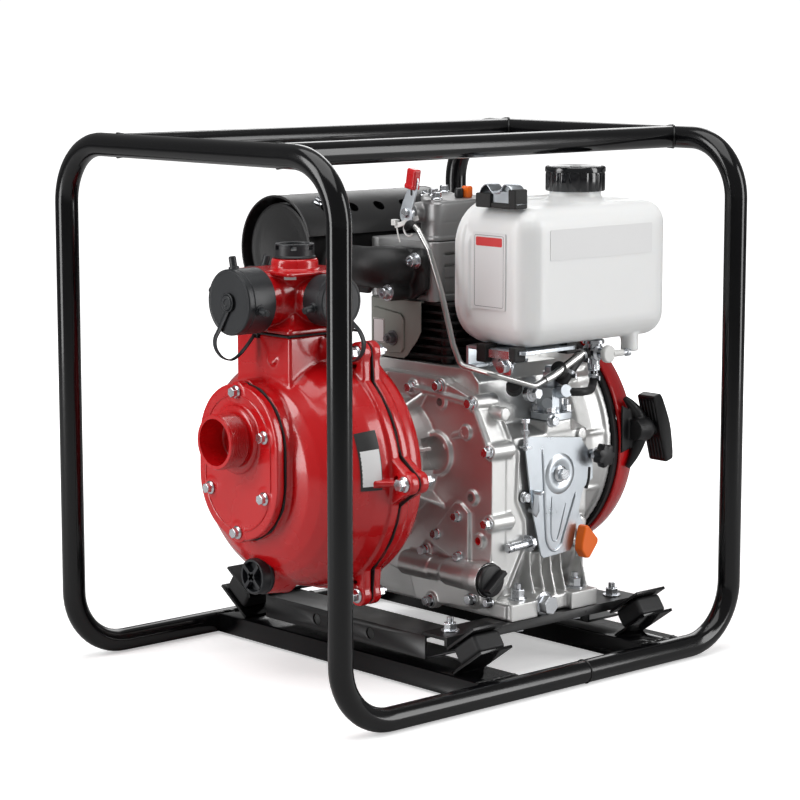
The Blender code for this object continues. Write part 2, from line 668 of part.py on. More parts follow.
def make_engine(alloy, black, steel, iron):
    case_outline = [(-0.112, 0.090), (0.128, 0.090), (0.146, 0.120), (0.150, 0.150),
                    (0.150, 0.262), (0.118, 0.272), (0.114, 0.322), (0.100, CASE_TOP_Z),
                    (-0.095, CASE_TOP_Z), (-0.128, 0.300), (-0.134, 0.232), (-0.126, 0.140)]
    case = prism("crankcase", case_outline, CASE_FRONT_Y, CASE_REAR_Y, "XZ", alloy)
    join(case, box("case_base", (-0.135, CASE_FRONT_Y, CASE_BASE_Z),
                   (0.148, CASE_REAR_Y, 0.094)))
    for side in (-1, 1):
        for index, (near, far) in enumerate(((0.006, 0.046), (0.098, 0.1395))):
            low = (min(side * 0.120, side * 0.167), near, CASE_BASE_Z)
            high = (max(side * 0.120, side * 0.167), far, 0.0830)
            join(case, box(f"case_foot_{side}_{index}", low, high))
    wall = CASE_WALL
    inside = [(-0.104, 0.078), (0.124, 0.078), (0.138, 0.122), (0.142, 0.152),
              (0.142, 0.254), (0.110, 0.266), (0.106, 0.318), (0.096, CASE_TOP_Z - wall),
              (-0.091, CASE_TOP_Z - wall), (-0.119, 0.297), (-0.126, 0.232), (-0.118, 0.142)]
    cut(case, prism("case_inside", inside, CASE_FRONT_Y + wall, CASE_REAR_Y - wall, "XZ"))
    cut(case, rod("case_front_bore", (0, -0.02, AXIS_Z), 0.06, 0.062, "Y", sides=32))
    cut(case, rod("case_rear_bore", (0, 0.10, AXIS_Z), 0.06, 0.0165, "Y"))
    cut(case, rod("case_top_bore", (0, CYLINDER_Y, 0.300), 0.06, 0.0475, "Z", sides=32))

    cover_outline = [(-0.100, 0.150), (-0.060, 0.112), (0.030, 0.098), (0.110, 0.100),
                     (0.140, 0.128), (0.152, 0.180), (0.150, 0.258), (0.122, 0.300),
                     (0.070, 0.322), (-0.030, 0.324), (-0.090, 0.296), (-0.116, 0.235)]
    face = CASE_FRONT_Y - GAP
    cover = prism("crankcase_cover", cover_outline, face - 0.012, face, "XZ", alloy)
    join(cover, rod("cover_hub", (0, -0.0500, AXIS_Z), 0.045, 0.0580, "Y", sides=32,
                    top_radius=0.0700))
    join(cover, rod("oil_filler_neck", (0.020, -0.0166, 0.1120), 0.1330, 0.0160, "X"))
    cut(cover, rod("cover_shaft_bore", (0, -0.08, AXIS_Z), 0.10, 0.0165, "Y"))

    cap = rod("oil_filler_cap", (0.1533, -0.0166, 0.1120), 0.0100, 0.0175, "X", black, sides=20)
    join(cap, box("oil_cap_grip", (0.158, -0.0196, 0.0960), (0.1740, -0.0136, 0.1280)))
    place_origin(cap, (0.1533, -0.0166, 0.1120))

    # Square finned barrel: a comb profile turned in four steps, then stretched.
    low = CASE_TOP_Z + GAP
    pitch = (CYLINDER_TOP - low) / FIN_COUNT
    half, core = 0.0680, 0.0540
    comb = []
    for index in range(FIN_COUNT):
        top = CYLINDER_TOP - index * pitch
        comb += [(half, top), (half, top - 0.0035), (core, top - 0.0040)]
        comb += [(core, top - pitch)]
    comb = [(r * math.sqrt(2), z) for r, z in comb]
    barrel = turned("cylinder", [(0.0, CYLINDER_TOP)] + comb + [(0.0, low)], "Z",
                    (0, 0, 0), black, 4)
    barrel.matrix_world = Matrix.Rotation(math.pi / 4, 4, "Z")
    barrel = solid(barrel)
    barrel.data.transform(Matrix.Diagonal((1.0, 0.80, 1.0, 1.0)))
    barrel.data.transform(Matrix.Translation((0, CYLINDER_Y, 0)))
    cut(barrel, rod("cylinder_bore", (0, CYLINDER_Y, 0.300), 0.15, BORE_R + 0.00005, "Z",
                    sides=48))

    head_low = CYLINDER_TOP + GAP
    head = box("cylinder_head", (-0.062, 0.003, head_low), (0.048, 0.116, HEAD_BLOCK_TOP), alloy)
    bevel(head, 0.004, 2)
    cover_low = HEAD_BLOCK_TOP + GAP
    shape = [(0.022, 0.005), (0.046, 0.005), (0.046, 0.112), (-0.056, 0.112), (-0.056, 0.076)]
    rocker = prism("rocker_cover", shape, cover_low, ROCKER_TOP, "XY", alloy)
    bevel(rocker, 0.006, 2)
    hollow = [(0.024, 0.014), (0.037, 0.014), (0.037, 0.103), (-0.047, 0.103), (-0.047, 0.0786)]
    cut(rocker, prism("rocker_hollow", hollow, cover_low - 0.01, ROCKER_TOP - 0.008, "XY"))
    pivot = rod("rocker_pivot_boss", (0.016, -0.0100, 0.5010), 0.028, 0.0090, "Y", sides=16)
    join(rocker, pivot)

    crown = 0.3940
    piston = turned("piston", [(0.0, crown), (BORE_R - 0.0001, crown),
                               (BORE_R - 0.0001, crown - 0.050), (0.032, crown - 0.050),
                               (0.032, crown - 0.010), (0.0, crown - 0.010)],
                    "Z", (0, CYLINDER_Y, 0), alloy, 48)
    piston.matrix_world = Matrix.Translation((0, CYLINDER_Y, 0))

    shaft = rod("crankshaft", (0, -0.1440, AXIS_Z), 0.1840, SHAFT_R, "Y", steel, sides=24)
    for index, start in enumerate((0.034, 0.074)):
        low = (-0.018, start, AXIS_Z - 0.040)
        join(shaft, box(f"crank_web_{index}", low, (0.018, start + 0.012, AXIS_Z + 0.042)))
    join(shaft, rod("crank_pin", (0, 0.040, AXIS_Z + CRANK_THROW), 0.040, CRANK_PIN_R, "Y"))
    join(shaft, rod("crank_tail", (0, 0.080, AXIS_Z), 0.1250, SHAFT_R, "Y"))
    place_origin(shaft, (0, 0, AXIS_Z))

    rim = [(0.112, 0.0), (0.112, 0.026), (0.100, 0.026), (0.096, 0.010), (0.030, 0.010),
           (0.030, 0.026), (0.0128, 0.026), (0.0128, 0.0)]
    wheel = turned("flywheel", rim[::-1], "Y", (0, 0.1500, AXIS_Z), iron, 32)
    blades = 8
    for index in range(blades):
        angle = 2 * math.pi * index / blades
        middle = Vector((0.104 * math.cos(angle), 0.1815, AXIS_Z - 0.104 * math.sin(angle)))
        size = Vector((0.014, 0.015, 0.0025)) / 2
        turn = Matrix.Rotation(angle + 0.6, 4, "Y")
        join(wheel, box(f"fan_blade_{index}", middle - size, middle + size, turn=turn))


def make_starter(alloy, black, red, plastic):
    start = CASE_REAR_Y + GAP
    drum = rod("fan_housing", (0, start, AXIS_Z), 0.0585, HOUSING_R, "Y", alloy, sides=16)
    cut(drum, rod("fan_housing_inside", (0, start + 0.006, AXIS_Z), 0.08, HOUSING_R - 0.008, "Y",
                  sides=32))
    cut(drum, rod("fan_housing_hole", (0, start - 0.01, AXIS_Z), 0.03, 0.030, "Y"))

    flange_y = start + 0.0585 + GAP
    ring = rod("recoil_flange", (0, flange_y, AXIS_Z), 0.0080, FLANGE_BLACK_R, "Y", black, sides=16)
    cut(ring, rod("recoil_flange_hole", (0, flange_y - 0.01, AXIS_Z), 0.04, 0.118, "Y", sides=32))

    dome_y = flange_y + 0.0080 + GAP
    depth = DOME_REAR_Y - dome_y
    outer = [(0.0, 0.0), (DOME_R, 0.0), (DOME_R, 0.012), (0.1320, 0.025), (0.118, 0.039),
             (0.088, depth - 0.004), (0.050, depth), (0.0, depth)]
    dome = turned("recoil_housing", outer[::-1], "Y", (0, dome_y, AXIS_Z), red, 40)
    inner = [(0.0, -0.01), (DOME_R - 0.004, -0.01), (DOME_R - 0.004, 0.010), (0.1275, 0.022),
             (0.114, 0.035), (0.084, depth - 0.008), (0.0, depth - 0.0045)]
    cut(dome, turned("dome_inside", inner[::-1], "Y", (0, dome_y, AXIS_Z), None, 28))
    join(dome, rod("dome_spindle", (0, dome_y + 0.012, AXIS_Z), depth - 0.014, 0.0095, "Y"))

    reel = [(0.076, 0.016), (0.076, 0.013), (0.068, 0.011), (0.068, 0.005), (0.076, 0.003),
            (0.076, 0.0), (0.0098, 0.0), (0.0098, 0.016)]
    turned("recoil_pulley", reel, "Y", (0, dome_y + 0.018, AXIS_Z), plastic, 28)

    guide = prism("rope_guide", [(0.207, -0.046), (0.228, -0.022), (0.240, 0.0),
                                 (0.228, 0.016), (0.207, 0.034)],
                  DOME_R + 0.0006, DOME_R + 0.014, "YZ", black)
    guide.data.transform(Matrix.Translation((0, 0, GUIDE_Z)))
    join(guide, rod("rope_funnel", (GUIDE_X, 0.222, GUIDE_Z), 0.021, 0.0095, "Y", sides=20,
                    top_radius=0.0120))
    cut(guide, rod("rope_hole", (GUIDE_X, 0.200, GUIDE_Z), 0.06, 0.0045, "Y", sides=16))

    grip = handle_bar("recoil_handle", black)
    join(grip, rod("handle_stem", (GUIDE_X, 0.2436, GUIDE_Z), 0.014, 0.0065, "Y", sides=16))
    bevel(grip, 0.0015, 1, 50)
    place_origin(grip, (GUIDE_X, HANDLE_Y, GUIDE_Z))


def handle_bar(name, skin):
    """T-grip: wide flat bar with an outer face that bulges backwards."""
    half = HANDLE_LENGTH / 2
    outline = [(-0.007, -half), (0.007, -half), (0.011, -half * 0.5), (0.0125, 0.0),
               (0.011, half * 0.5), (0.007, half), (-0.007, half)]
    bar = prism(name, outline, -0.014, 0.014, "YZ", skin)
    bar.data.transform(Matrix.Rotation(HANDLE_LEAN, 4, "X").inverted())
    bar.data.transform(Matrix.Translation((GUIDE_X, HANDLE_Y, GUIDE_Z)))
    return bar


# ---------------------------------------------------------------- exhaust

def make_exhaust(black, heat_black, sheet_grey):
    length = MUFFLER_REAR_Y - MUFFLER_FRONT_Y
    middle = (MUFFLER_X, MUFFLER_FRONT_Y, MUFFLER_Z)
    can = [(0.0, 0.0), (MUFFLER_R - 0.006, 0.0), (MUFFLER_R, 0.004), (MUFFLER_R, length - 0.004),
           (MUFFLER_R - 0.006, length), (0.0, length)]
    muffler = turned("muffler", can[::-1], "Y", middle, heat_black, 28)
    cut(muffler, rod("muffler_inside", (MUFFLER_X, MUFFLER_FRONT_Y + 0.006, MUFFLER_Z),
                     length - 0.012, MUFFLER_R - 0.003, "Y"))
    cut(muffler, rod("muffler_inlet", (-0.100, -0.034, ELBOW_Z), 0.05, 0.0165, "X"))
    cut(muffler, rod("muffler_outlet", (MUFFLER_X, 0.120, MUFFLER_Z), 0.05, 0.0120, "Y"))

    steps = 18
    first, last = math.radians(18), math.radians(205)
    outline = []
    for radius, order in ((SHIELD_R, 1), (SHIELD_R - 0.0014, -1)):
        arc = []
        for step in range(steps + 1):
            angle = first + (last - first) * step / steps
            arc.append((MUFFLER_X + radius * math.cos(angle), MUFFLER_Z + radius * math.sin(angle)))
        outline += arc[::order]
    prism("heat_shield", outline, MUFFLER_FRONT_Y - 0.006, MUFFLER_REAR_Y - 0.004, "XZ", black)

    path = filleted([(-0.0706, -0.034, ELBOW_Z), (0.004, -0.034, ELBOW_Z), (0.004, 0.0024, ELBOW_Z)],
                    0.026, 6)
    elbow = solid(tube("exhaust_elbow", path, 0.0215, heat_black, 3))
    join(elbow, box("elbow_flange", (-0.030, -0.0060, 0.4042), (0.042, 0.0024, 0.4640)))
    cut(elbow, rod("elbow_bore_x", (-0.09, -0.034, ELBOW_Z), 0.094, 0.0160, "X"))
    cut(elbow, rod("elbow_bore_y", (0.004, -0.034, ELBOW_Z), 0.05, 0.0160, "Y"))
    cut(elbow, rod("elbow_muffler_relief", (MUFFLER_X, -0.09, MUFFLER_Z), 0.12,
                   MUFFLER_R + GAP, "Y", sides=36))

    plate = box("cylinder_baffle", (-0.052, -0.0035, 0.3380), (0.030, -0.0020, 0.4036),
                sheet_grey)
    join(plate, box("baffle_lip", (-0.052, -0.0035, 0.3990), (0.030, -0.0002, 0.4036)))
    cut(plate, box("baffle_corner", (0.016, -0.01, 0.32), (0.05, 0.01, 0.352),
                   turn=Matrix.Rotation(math.radians(45), 4, "Y")))


# ---------------------------------------------------------------- fuel

def make_fuel(white, plastic, black, steel, rubber):
    low, high = Vector(TANK_LOW), Vector(TANK_HIGH)
    tank = box("fuel_tank", low, high, white)
    bevel(tank, TANK_BEVEL, 3)
    join(tank, rod("tank_neck", (FILLER_X, FILLER_Y, high.z - 0.004), 0.018, 0.0285, "Z",
                   sides=32))
    skin = Vector((TANK_WALL, TANK_WALL, TANK_WALL))
    hollow = box("tank_inside", low + skin, high - skin)
    bevel(hollow, TANK_BEVEL - TANK_WALL, 1)
    cut(tank, hollow)
    cut(tank, rod("tank_mouth", (FILLER_X, FILLER_Y, 0.48), 0.08, 0.0245, "Z", sides=32))
    cut(tank, rod("tank_drain", (0.150, 0.147, 0.340), 0.04, 0.0040, "Z", sides=12))

    rim = high.z + 0.014 + GAP
    cap = rod("fuel_cap", (FILLER_X, FILLER_Y, high.z + 0.0095), 0.0270, 0.0335, "Z", plastic,
              sides=24)
    cut(cap, rod("fuel_cap_hollow", (FILLER_X, FILLER_Y, 0.50), rim - 0.50, 0.0290, "Z",
                 sides=32))
    join(cap, rod("fuel_cap_insert", (FILLER_X, FILLER_Y, rim - 0.012), 0.014, 0.0238, "Z",
                  sides=24))
    place_origin(cap, (FILLER_X, FILLER_Y, high.z + 0.0095))

    bracket = box("tank_bracket", (0.084, 0.014, TANK_LOW[2] - 0.0043),
                  (0.172, 0.098, TANK_LOW[2] - GAP), steel)
    join(bracket, box("bracket_leg", (0.084, 0.014, CASE_TOP_Z + GAP), (0.0875, 0.098, 0.358)))
    join(bracket, box("bracket_foot", (0.0760, 0.014, CASE_TOP_Z + GAP), (0.0980, 0.098, 0.3385)))

    x, y = 0.150, 0.147
    top = TANK_LOW[2] - GAP
    cock = rod("fuel_cock", (x, y, 0.3270), top - 0.3270, 0.0075, "Z", steel, sides=16)
    join(cock, rod("cock_body", (x - 0.010, y, 0.3460), 0.0230, 0.0090, "X", sides=16))
    join(cock, rod("cock_stem", (x + 0.010, y, 0.3460), 0.0080, 0.0035, "X", sides=12))
    knob = rod("fuel_cock_knob", (x + 0.0185, y, 0.3460), 0.0070, 0.0090, "X", white, sides=20)
    join(knob, box("cock_lever", (x + 0.0195, y, 0.3425), (x + 0.0245, y + 0.030, 0.3495)))
    place_origin(knob, (x + 0.0185, y, 0.3460))

    pump = rod("injection_pump", (0.1350, 0.095, 0.2760), 0.0480, 0.0135, "Z", steel, sides=20)
    join(pump, box("pump_body_flange", (0.1183, 0.078, 0.2760), (0.1540, 0.112, 0.2880)))
    join(pump, rod("pump_union", (0.1350, 0.095, 0.3200), 0.0140, 0.0080, "Z", sides=6))

    hose_path = filleted([(0.150, 0.147, 0.3265), (0.150, 0.147, 0.3080), (0.172, 0.120, 0.3080),
                          (0.172, 0.095, 0.3080), (0.150, 0.095, 0.3080)], 0.008, 4)
    tube("fuel_hose", hose_path, 0.0045, rubber)
    pipe_path = filleted([(0.030, -0.0165, 0.4960), (0.045, -0.0200, 0.4836),
                          (0.061, -0.0200, 0.4639), (0.0803, -0.0200, 0.4208),
                          (0.0994, -0.0200, 0.3647), (0.1100, -0.0180, 0.3420),
                          (0.1500, -0.0100, 0.3360), (0.1640, 0.0400, 0.3195),
                          (0.1640, 0.0700, 0.3290), (0.1640, 0.1150, 0.3490)], 0.008, 3)
    tube("return_pipe", pipe_path, 0.0031, steel, 1)


# ---------------------------------------------------------------- controls

def make_controls(zinc, black):
    outline = [(0.034, 0.262), (0.142, 0.252), (0.142, 0.206), (0.124, 0.196), (0.104, 0.130),
               (0.064, 0.127), (0.046, 0.180)]
    plate = prism("control_plate", outline, PLATE_X, PLATE_X + 0.0022, "YZ", zinc)
    join(plate, box("plate_foot", (0.1503, 0.060, 0.2350), (PLATE_X + 0.001, 0.100, 0.2500)))
    y, z = SPEED_PIVOT
    join(plate, rod("plate_pivot", (PLATE_X, y, z), 0.0080, 0.0040, "X", sides=16))

    cut(plate, rod("plate_stop_hole", (PLATE_X - 0.01, 0.0470, 0.1810), 0.03, 0.0040, "X",
                   sides=12))

    lever_x = PLATE_X + 0.0022 + GAP
    arm = [(0.088, 0.2130), (0.090, 0.2200), (0.097, 0.2230), (0.104, 0.2205), (0.1450, 0.2370),
           (0.1480, 0.2300), (0.1080, 0.2090), (0.1290, 0.1500), (0.1220, 0.1470),
           (0.0960, 0.2040)]
    lever = prism("speed_lever", arm, lever_x, lever_x + 0.0020, "YZ", zinc)
    cut(lever, rod("lever_hole", (lever_x - 0.01, y, z), 0.03, 0.0043, "X", sides=16))
    grip = [(0.1160, 0.1520), (0.1310, 0.1560), (0.1370, 0.1310), (0.1250, 0.1240),
            (0.1150, 0.1330)]
    join(lever, prism("lever_grip", grip, lever_x - 0.0001, lever_x + 0.0140, "YZ"))
    place_origin(lever, (lever_x, y, z))

    knob_y, knob_z = 0.1420, 0.2330
    knob_x = lever_x + 0.0020 + GAP
    knob = rod("speed_knob", (knob_x, knob_y, knob_z), 0.0080, 0.0055, "X", black, sides=16)
    join(knob, rod("knob_head", (knob_x + 0.006, knob_y, knob_z), 0.0120, 0.0135, "X", sides=7))
    place_origin(knob, (knob_x, knob_y, knob_z))

    stop = prism("stop_lever", [(0.0420, 0.1800), (0.0440, 0.2040), (0.0500, 0.2040),
                                (0.0520, 0.1800), (0.0470, 0.1740)],
                 PLATE_X + 0.0050, PLATE_X + 0.0072, "YZ", zinc)
    join(stop, rod("stop_shaft", (0.1510, 0.0470, 0.1810), 0.0100, 0.0032, "X", sides=12))
    join(stop, box("stop_tab", (PLATE_X + 0.0050, 0.0440, 0.2000),
                   (PLATE_X + 0.0160, 0.0500, 0.2040)))
    place_origin(stop, (0.1510, 0.0470, 0.1810))

    pivot = (0.0160, -0.0104, 0.5010)
    blade = [(0.0060, 0.5010), (0.0090, 0.4930), (0.0160, 0.4900), (0.0230, 0.4930),
             (0.0250, 0.5010), (0.0230, 0.5080), (0.0300, 0.5380), (0.0215, 0.5400),
             (0.0120, 0.5100)]
    lever = prism("decompression_lever", blade, -0.0128, -0.0104, "XZ", zinc)
    join(lever, box("decompression_grip", (0.0190, -0.0170, 0.5270), (0.0340, -0.0070, 0.5510),
                    turn=Matrix.Rotation(math.radians(10), 4, "Y")))
    place_origin(lever, pivot)


def main():
    clear_scene()
    cage_black = material("cage_black", (0.008, 0.008, 0.010), 0.0, 0.28)
    frame_black = material("subframe_black", (0.010, 0.010, 0.011), 0.0, 0.40)
    rubber = material("mount_rubber", (0.018, 0.018, 0.020), 0.0, 0.60)
    pump_red = material("pump_red", (0.55, 0.006, 0.010), 0.0, 0.25)
    starter_red = material("starter_red", (0.60, 0.010, 0.012), 0.0, 0.35)
    gasket = material("gasket_black", (0.010, 0.010, 0.010), 0.0, 0.70)
    plastic = material("cap_plastic", (0.022, 0.024, 0.027), 0.0, 0.45)
    engine_plastic = material("engine_plastic", (0.012, 0.012, 0.013), 0.0, 0.50)
    bronze = material("impeller_bronze", (0.45, 0.27, 0.10), 1.0, 0.40)
    alloy = material("cast_aluminium", (0.60, 0.60, 0.59), 0.85, 0.45)
    barrel_black = material("cylinder_black", (0.012, 0.012, 0.012), 0.2, 0.50)
    steel = material("zinc_steel", (0.70, 0.72, 0.74), 1.0, 0.30)
    iron = material("flywheel_iron", (0.25, 0.25, 0.26), 0.9, 0.55)
    heat_black = material("exhaust_black", (0.015, 0.015, 0.016), 0.1, 0.55)
    sheet_grey = material("baffle_grey", (0.20, 0.22, 0.20), 0.3, 0.50)
    tank_white = material("tank_white", (0.80, 0.80, 0.79), 0.0, 0.40)

    make_cage(cage_black)
    make_subframe(frame_black, rubber)
    make_pump(pump_red, gasket, bronze, plastic)
    make_head(pump_red, gasket, plastic)
    make_engine(alloy, barrel_black, steel, iron)
    make_starter(alloy, engine_plastic, starter_red, plastic)
    make_exhaust(heat_black, heat_black, sheet_grey)
    make_fuel(tank_white, plastic, engine_plastic, steel, rubber)
    make_controls(steel, engine_plastic)


main()
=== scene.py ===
"""Portable fire pump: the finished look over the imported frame."""
import json
import math

import bmesh
import bpy
from mathutils import Matrix, Vector


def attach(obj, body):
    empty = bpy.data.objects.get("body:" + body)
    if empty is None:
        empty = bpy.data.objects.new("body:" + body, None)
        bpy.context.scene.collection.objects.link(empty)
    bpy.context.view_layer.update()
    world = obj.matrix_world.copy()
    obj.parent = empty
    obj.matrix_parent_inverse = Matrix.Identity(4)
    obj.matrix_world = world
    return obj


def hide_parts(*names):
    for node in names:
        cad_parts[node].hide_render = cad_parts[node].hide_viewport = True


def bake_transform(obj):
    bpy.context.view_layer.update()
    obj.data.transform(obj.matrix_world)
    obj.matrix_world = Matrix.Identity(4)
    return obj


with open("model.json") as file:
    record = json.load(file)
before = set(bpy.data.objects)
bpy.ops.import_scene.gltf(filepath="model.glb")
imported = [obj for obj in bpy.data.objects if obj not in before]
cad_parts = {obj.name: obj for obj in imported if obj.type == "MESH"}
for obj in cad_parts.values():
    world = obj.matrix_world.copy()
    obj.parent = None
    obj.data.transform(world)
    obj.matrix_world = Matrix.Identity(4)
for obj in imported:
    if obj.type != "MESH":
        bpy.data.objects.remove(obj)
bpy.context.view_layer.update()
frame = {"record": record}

X, Y, Z = Vector((1, 0, 0)), Vector((0, 1, 0)), Vector((0, 0, 1))
AXIS_Z = 0.232


# ---------------------------------------------------------------- camera, light, floor

def make_stage():
    scene = bpy.context.scene
    scene.view_settings.view_transform = "Standard"
    place, target = Vector((2.11872, -1.93113, 0.72254)), Vector((0, 0, 0.29593))
    data = bpy.data.cameras.new("camera")
    data.lens = 116.73
    data.sensor_width = 36.0
    data.shift_x = -0.0059
    data.shift_y = -0.0061
    camera = bpy.data.objects.new("camera", data)
    camera.location = place
    camera.rotation_euler = (target - place).to_track_quat("-Z", "Y").to_euler()
    scene.collection.objects.link(camera)
    scene.camera = camera

    world = bpy.data.worlds.new("studio")
    scene.world = world
    world.use_nodes = True
    nodes, links = world.node_tree.nodes, world.node_tree.links
    background = nodes["Background"]
    background.inputs["Color"].default_value = (1.0, 1.0, 1.0, 1)
    path = nodes.new("ShaderNodeLightPath")
    level = nodes.new("ShaderNodeMapRange")
    level.inputs["To Min"].default_value = 0.20
    level.inputs["To Max"].default_value = 1.05
    links.new(path.outputs["Is Camera Ray"], level.inputs["Value"])
    links.new(level.outputs["Result"], background.inputs["Strength"])

    for name, where, size, power in (
        ("left_box", (-0.80, -2.20, 0.95), (0.9, 2.2), 40),
        ("right_box", (2.05, 1.45, 0.95), (0.8, 2.2), 32),
        ("top_box", (0.3, -0.3, 2.5), (2.4, 2.4), 44),
        ("back_box", (-1.6, 2.0, 1.5), (1.4, 1.4), 14),
    ):
        light = bpy.data.lights.new(name, "AREA")
        light.shape = "RECTANGLE"
        light.size, light.size_y = size
        light.energy = power
        lamp = bpy.data.objects.new(name, light)
        lamp.location = where
        aim = Vector((0, 0, 0.30)) - Vector(where)
        lamp.rotation_euler = aim.to_track_quat("-Z", "Y").to_euler()
        scene.collection.objects.link(lamp)

    bm = bmesh.new()
    bmesh.ops.create_circle(bm, cap_ends=True, segments=96, radius=14.0)
    mesh = bpy.data.meshes.new("floor")
    bm.to_mesh(mesh)
    bm.free()
    floor = bpy.data.objects.new("floor", mesh)
    scene.collection.objects.link(floor)
    skin = bpy.data.materials.new("floor_white")
    skin.use_nodes = True
    nodes, links = skin.node_tree.nodes, skin.node_tree.links
    shader = nodes["Principled BSDF"]
    path = nodes.new("ShaderNodeLightPath")
    tone = nodes.new("ShaderNodeMix")
    tone.data_type = "RGBA"
    tone.inputs["A"].default_value = (0.48, 0.48, 0.48, 1)
    tone.inputs["B"].default_value = (0.93, 0.93, 0.93, 1)
    links.new(path.outputs["Is Camera Ray"], tone.inputs["Factor"])
    links.new(tone.outputs["Result"], shader.inputs["Base Color"])
    where = nodes.new("ShaderNodeTexCoord")
    reach = nodes.new("ShaderNodeVectorMath")
    reach.operation = "LENGTH"
    links.new(where.outputs["Object"], reach.inputs[0])
    fade = nodes.new("ShaderNodeMapRange")
    fade.inputs["From Min"].default_value = 0.55
    fade.inputs["From Max"].default_value = 1.7
    fade.inputs["To Min"].default_value = 0.42
    fade.inputs["To Max"].default_value = 1.05
    links.new(reach.outputs["Value"], fade.inputs["Value"])
    seen = nodes.new("ShaderNodeMath")
    seen.operation = "MULTIPLY"
    links.new(fade.outputs["Result"], seen.inputs[0])
    links.new(path.outputs["Is Camera Ray"], seen.inputs[1])
    links.new(seen.outputs["Value"], shader.inputs["Emission Strength"])
    shader.inputs["Roughness"].default_value = 0.75
    shader.inputs["Specular IOR Level"].default_value = 0.2
    shader.inputs["Emission Color"].default_value = (1, 1, 1, 1)
    mesh.materials.append(skin)


# ---------------------------------------------------------------- materials

def surface(name, colour, metallic=0.0, roughness=0.5, grain=900.0, bump=0.05, mottle=0.12,
            rough_spread=0.08, coat=0.0, coat_roughness=0.1, patch=14.0, specular=0.5,
            subsurface=0.0, depth=0.0004, sheen=0.0):
    """Principled material with fine grain, colour mottling and uneven gloss, sized in metres."""
    skin = bpy.data.materials.new(name)
    skin.use_nodes = True
    nodes, links = skin.node_tree.nodes, skin.node_tree.links
    shader = nodes["Principled BSDF"]
    shader.inputs["Metallic"].default_value = metallic
    shader.inputs["Coat Weight"].default_value = coat
    shader.inputs["Coat Roughness"].default_value = coat_roughness
    shader.inputs["Specular IOR Level"].default_value = specular
    shader.inputs["Sheen Weight"].default_value = sheen
    if subsurface:
        shader.inputs["Subsurface Weight"].default_value = subsurface
        shader.inputs["Subsurface Radius"].default_value = (0.012, 0.011, 0.010)
    where = nodes.new("ShaderNodeTexCoord")

    def noise(scale, detail, rough=0.55):
        node = nodes.new("ShaderNodeTexNoise")
        node.inputs["Scale"].default_value = scale
        node.inputs["Detail"].default_value = detail
        node.inputs["Roughness"].default_value = rough
        links.new(where.outputs["Object"], node.inputs["Vector"])
        return node

    broad = noise(patch, 4)
    fine = noise(grain, 3)
    tint = nodes.new("ShaderNodeMix")
    tint.data_type = "RGBA"
    dark = tuple(c * (1 - mottle) for c in colour)
    light = tuple(min(1.0, c * (1 + mottle)) for c in colour)
    tint.inputs["A"].default_value = (*dark, 1)
    tint.inputs["B"].default_value = (*light, 1)
    links.new(broad.outputs["Fac"], tint.inputs["Factor"])
    links.new(tint.outputs["Result"], shader.inputs["Base Color"])
    gloss = nodes.new("ShaderNodeMapRange")
    gloss.inputs["From Min"].default_value = 0.3
    gloss.inputs["From Max"].default_value = 0.7
    gloss.inputs["To Min"].default_value = max(0.02, roughness - rough_spread)
    gloss.inputs["To Max"].default_value = min(1.0, roughness + rough_spread)
    links.new(broad.outputs["Fac"], gloss.inputs["Value"])
    links.new(gloss.outputs["Result"], shader.inputs["Roughness"])
    relief = nodes.new("ShaderNodeBump")
    relief.inputs["Strength"].default_value = bump
    relief.inputs["Distance"].default_value = depth
    links.new(fine.outputs["Fac"], relief.inputs["Height"])
    links.new(relief.outputs["Normal"], shader.inputs["Normal"])
    return skin


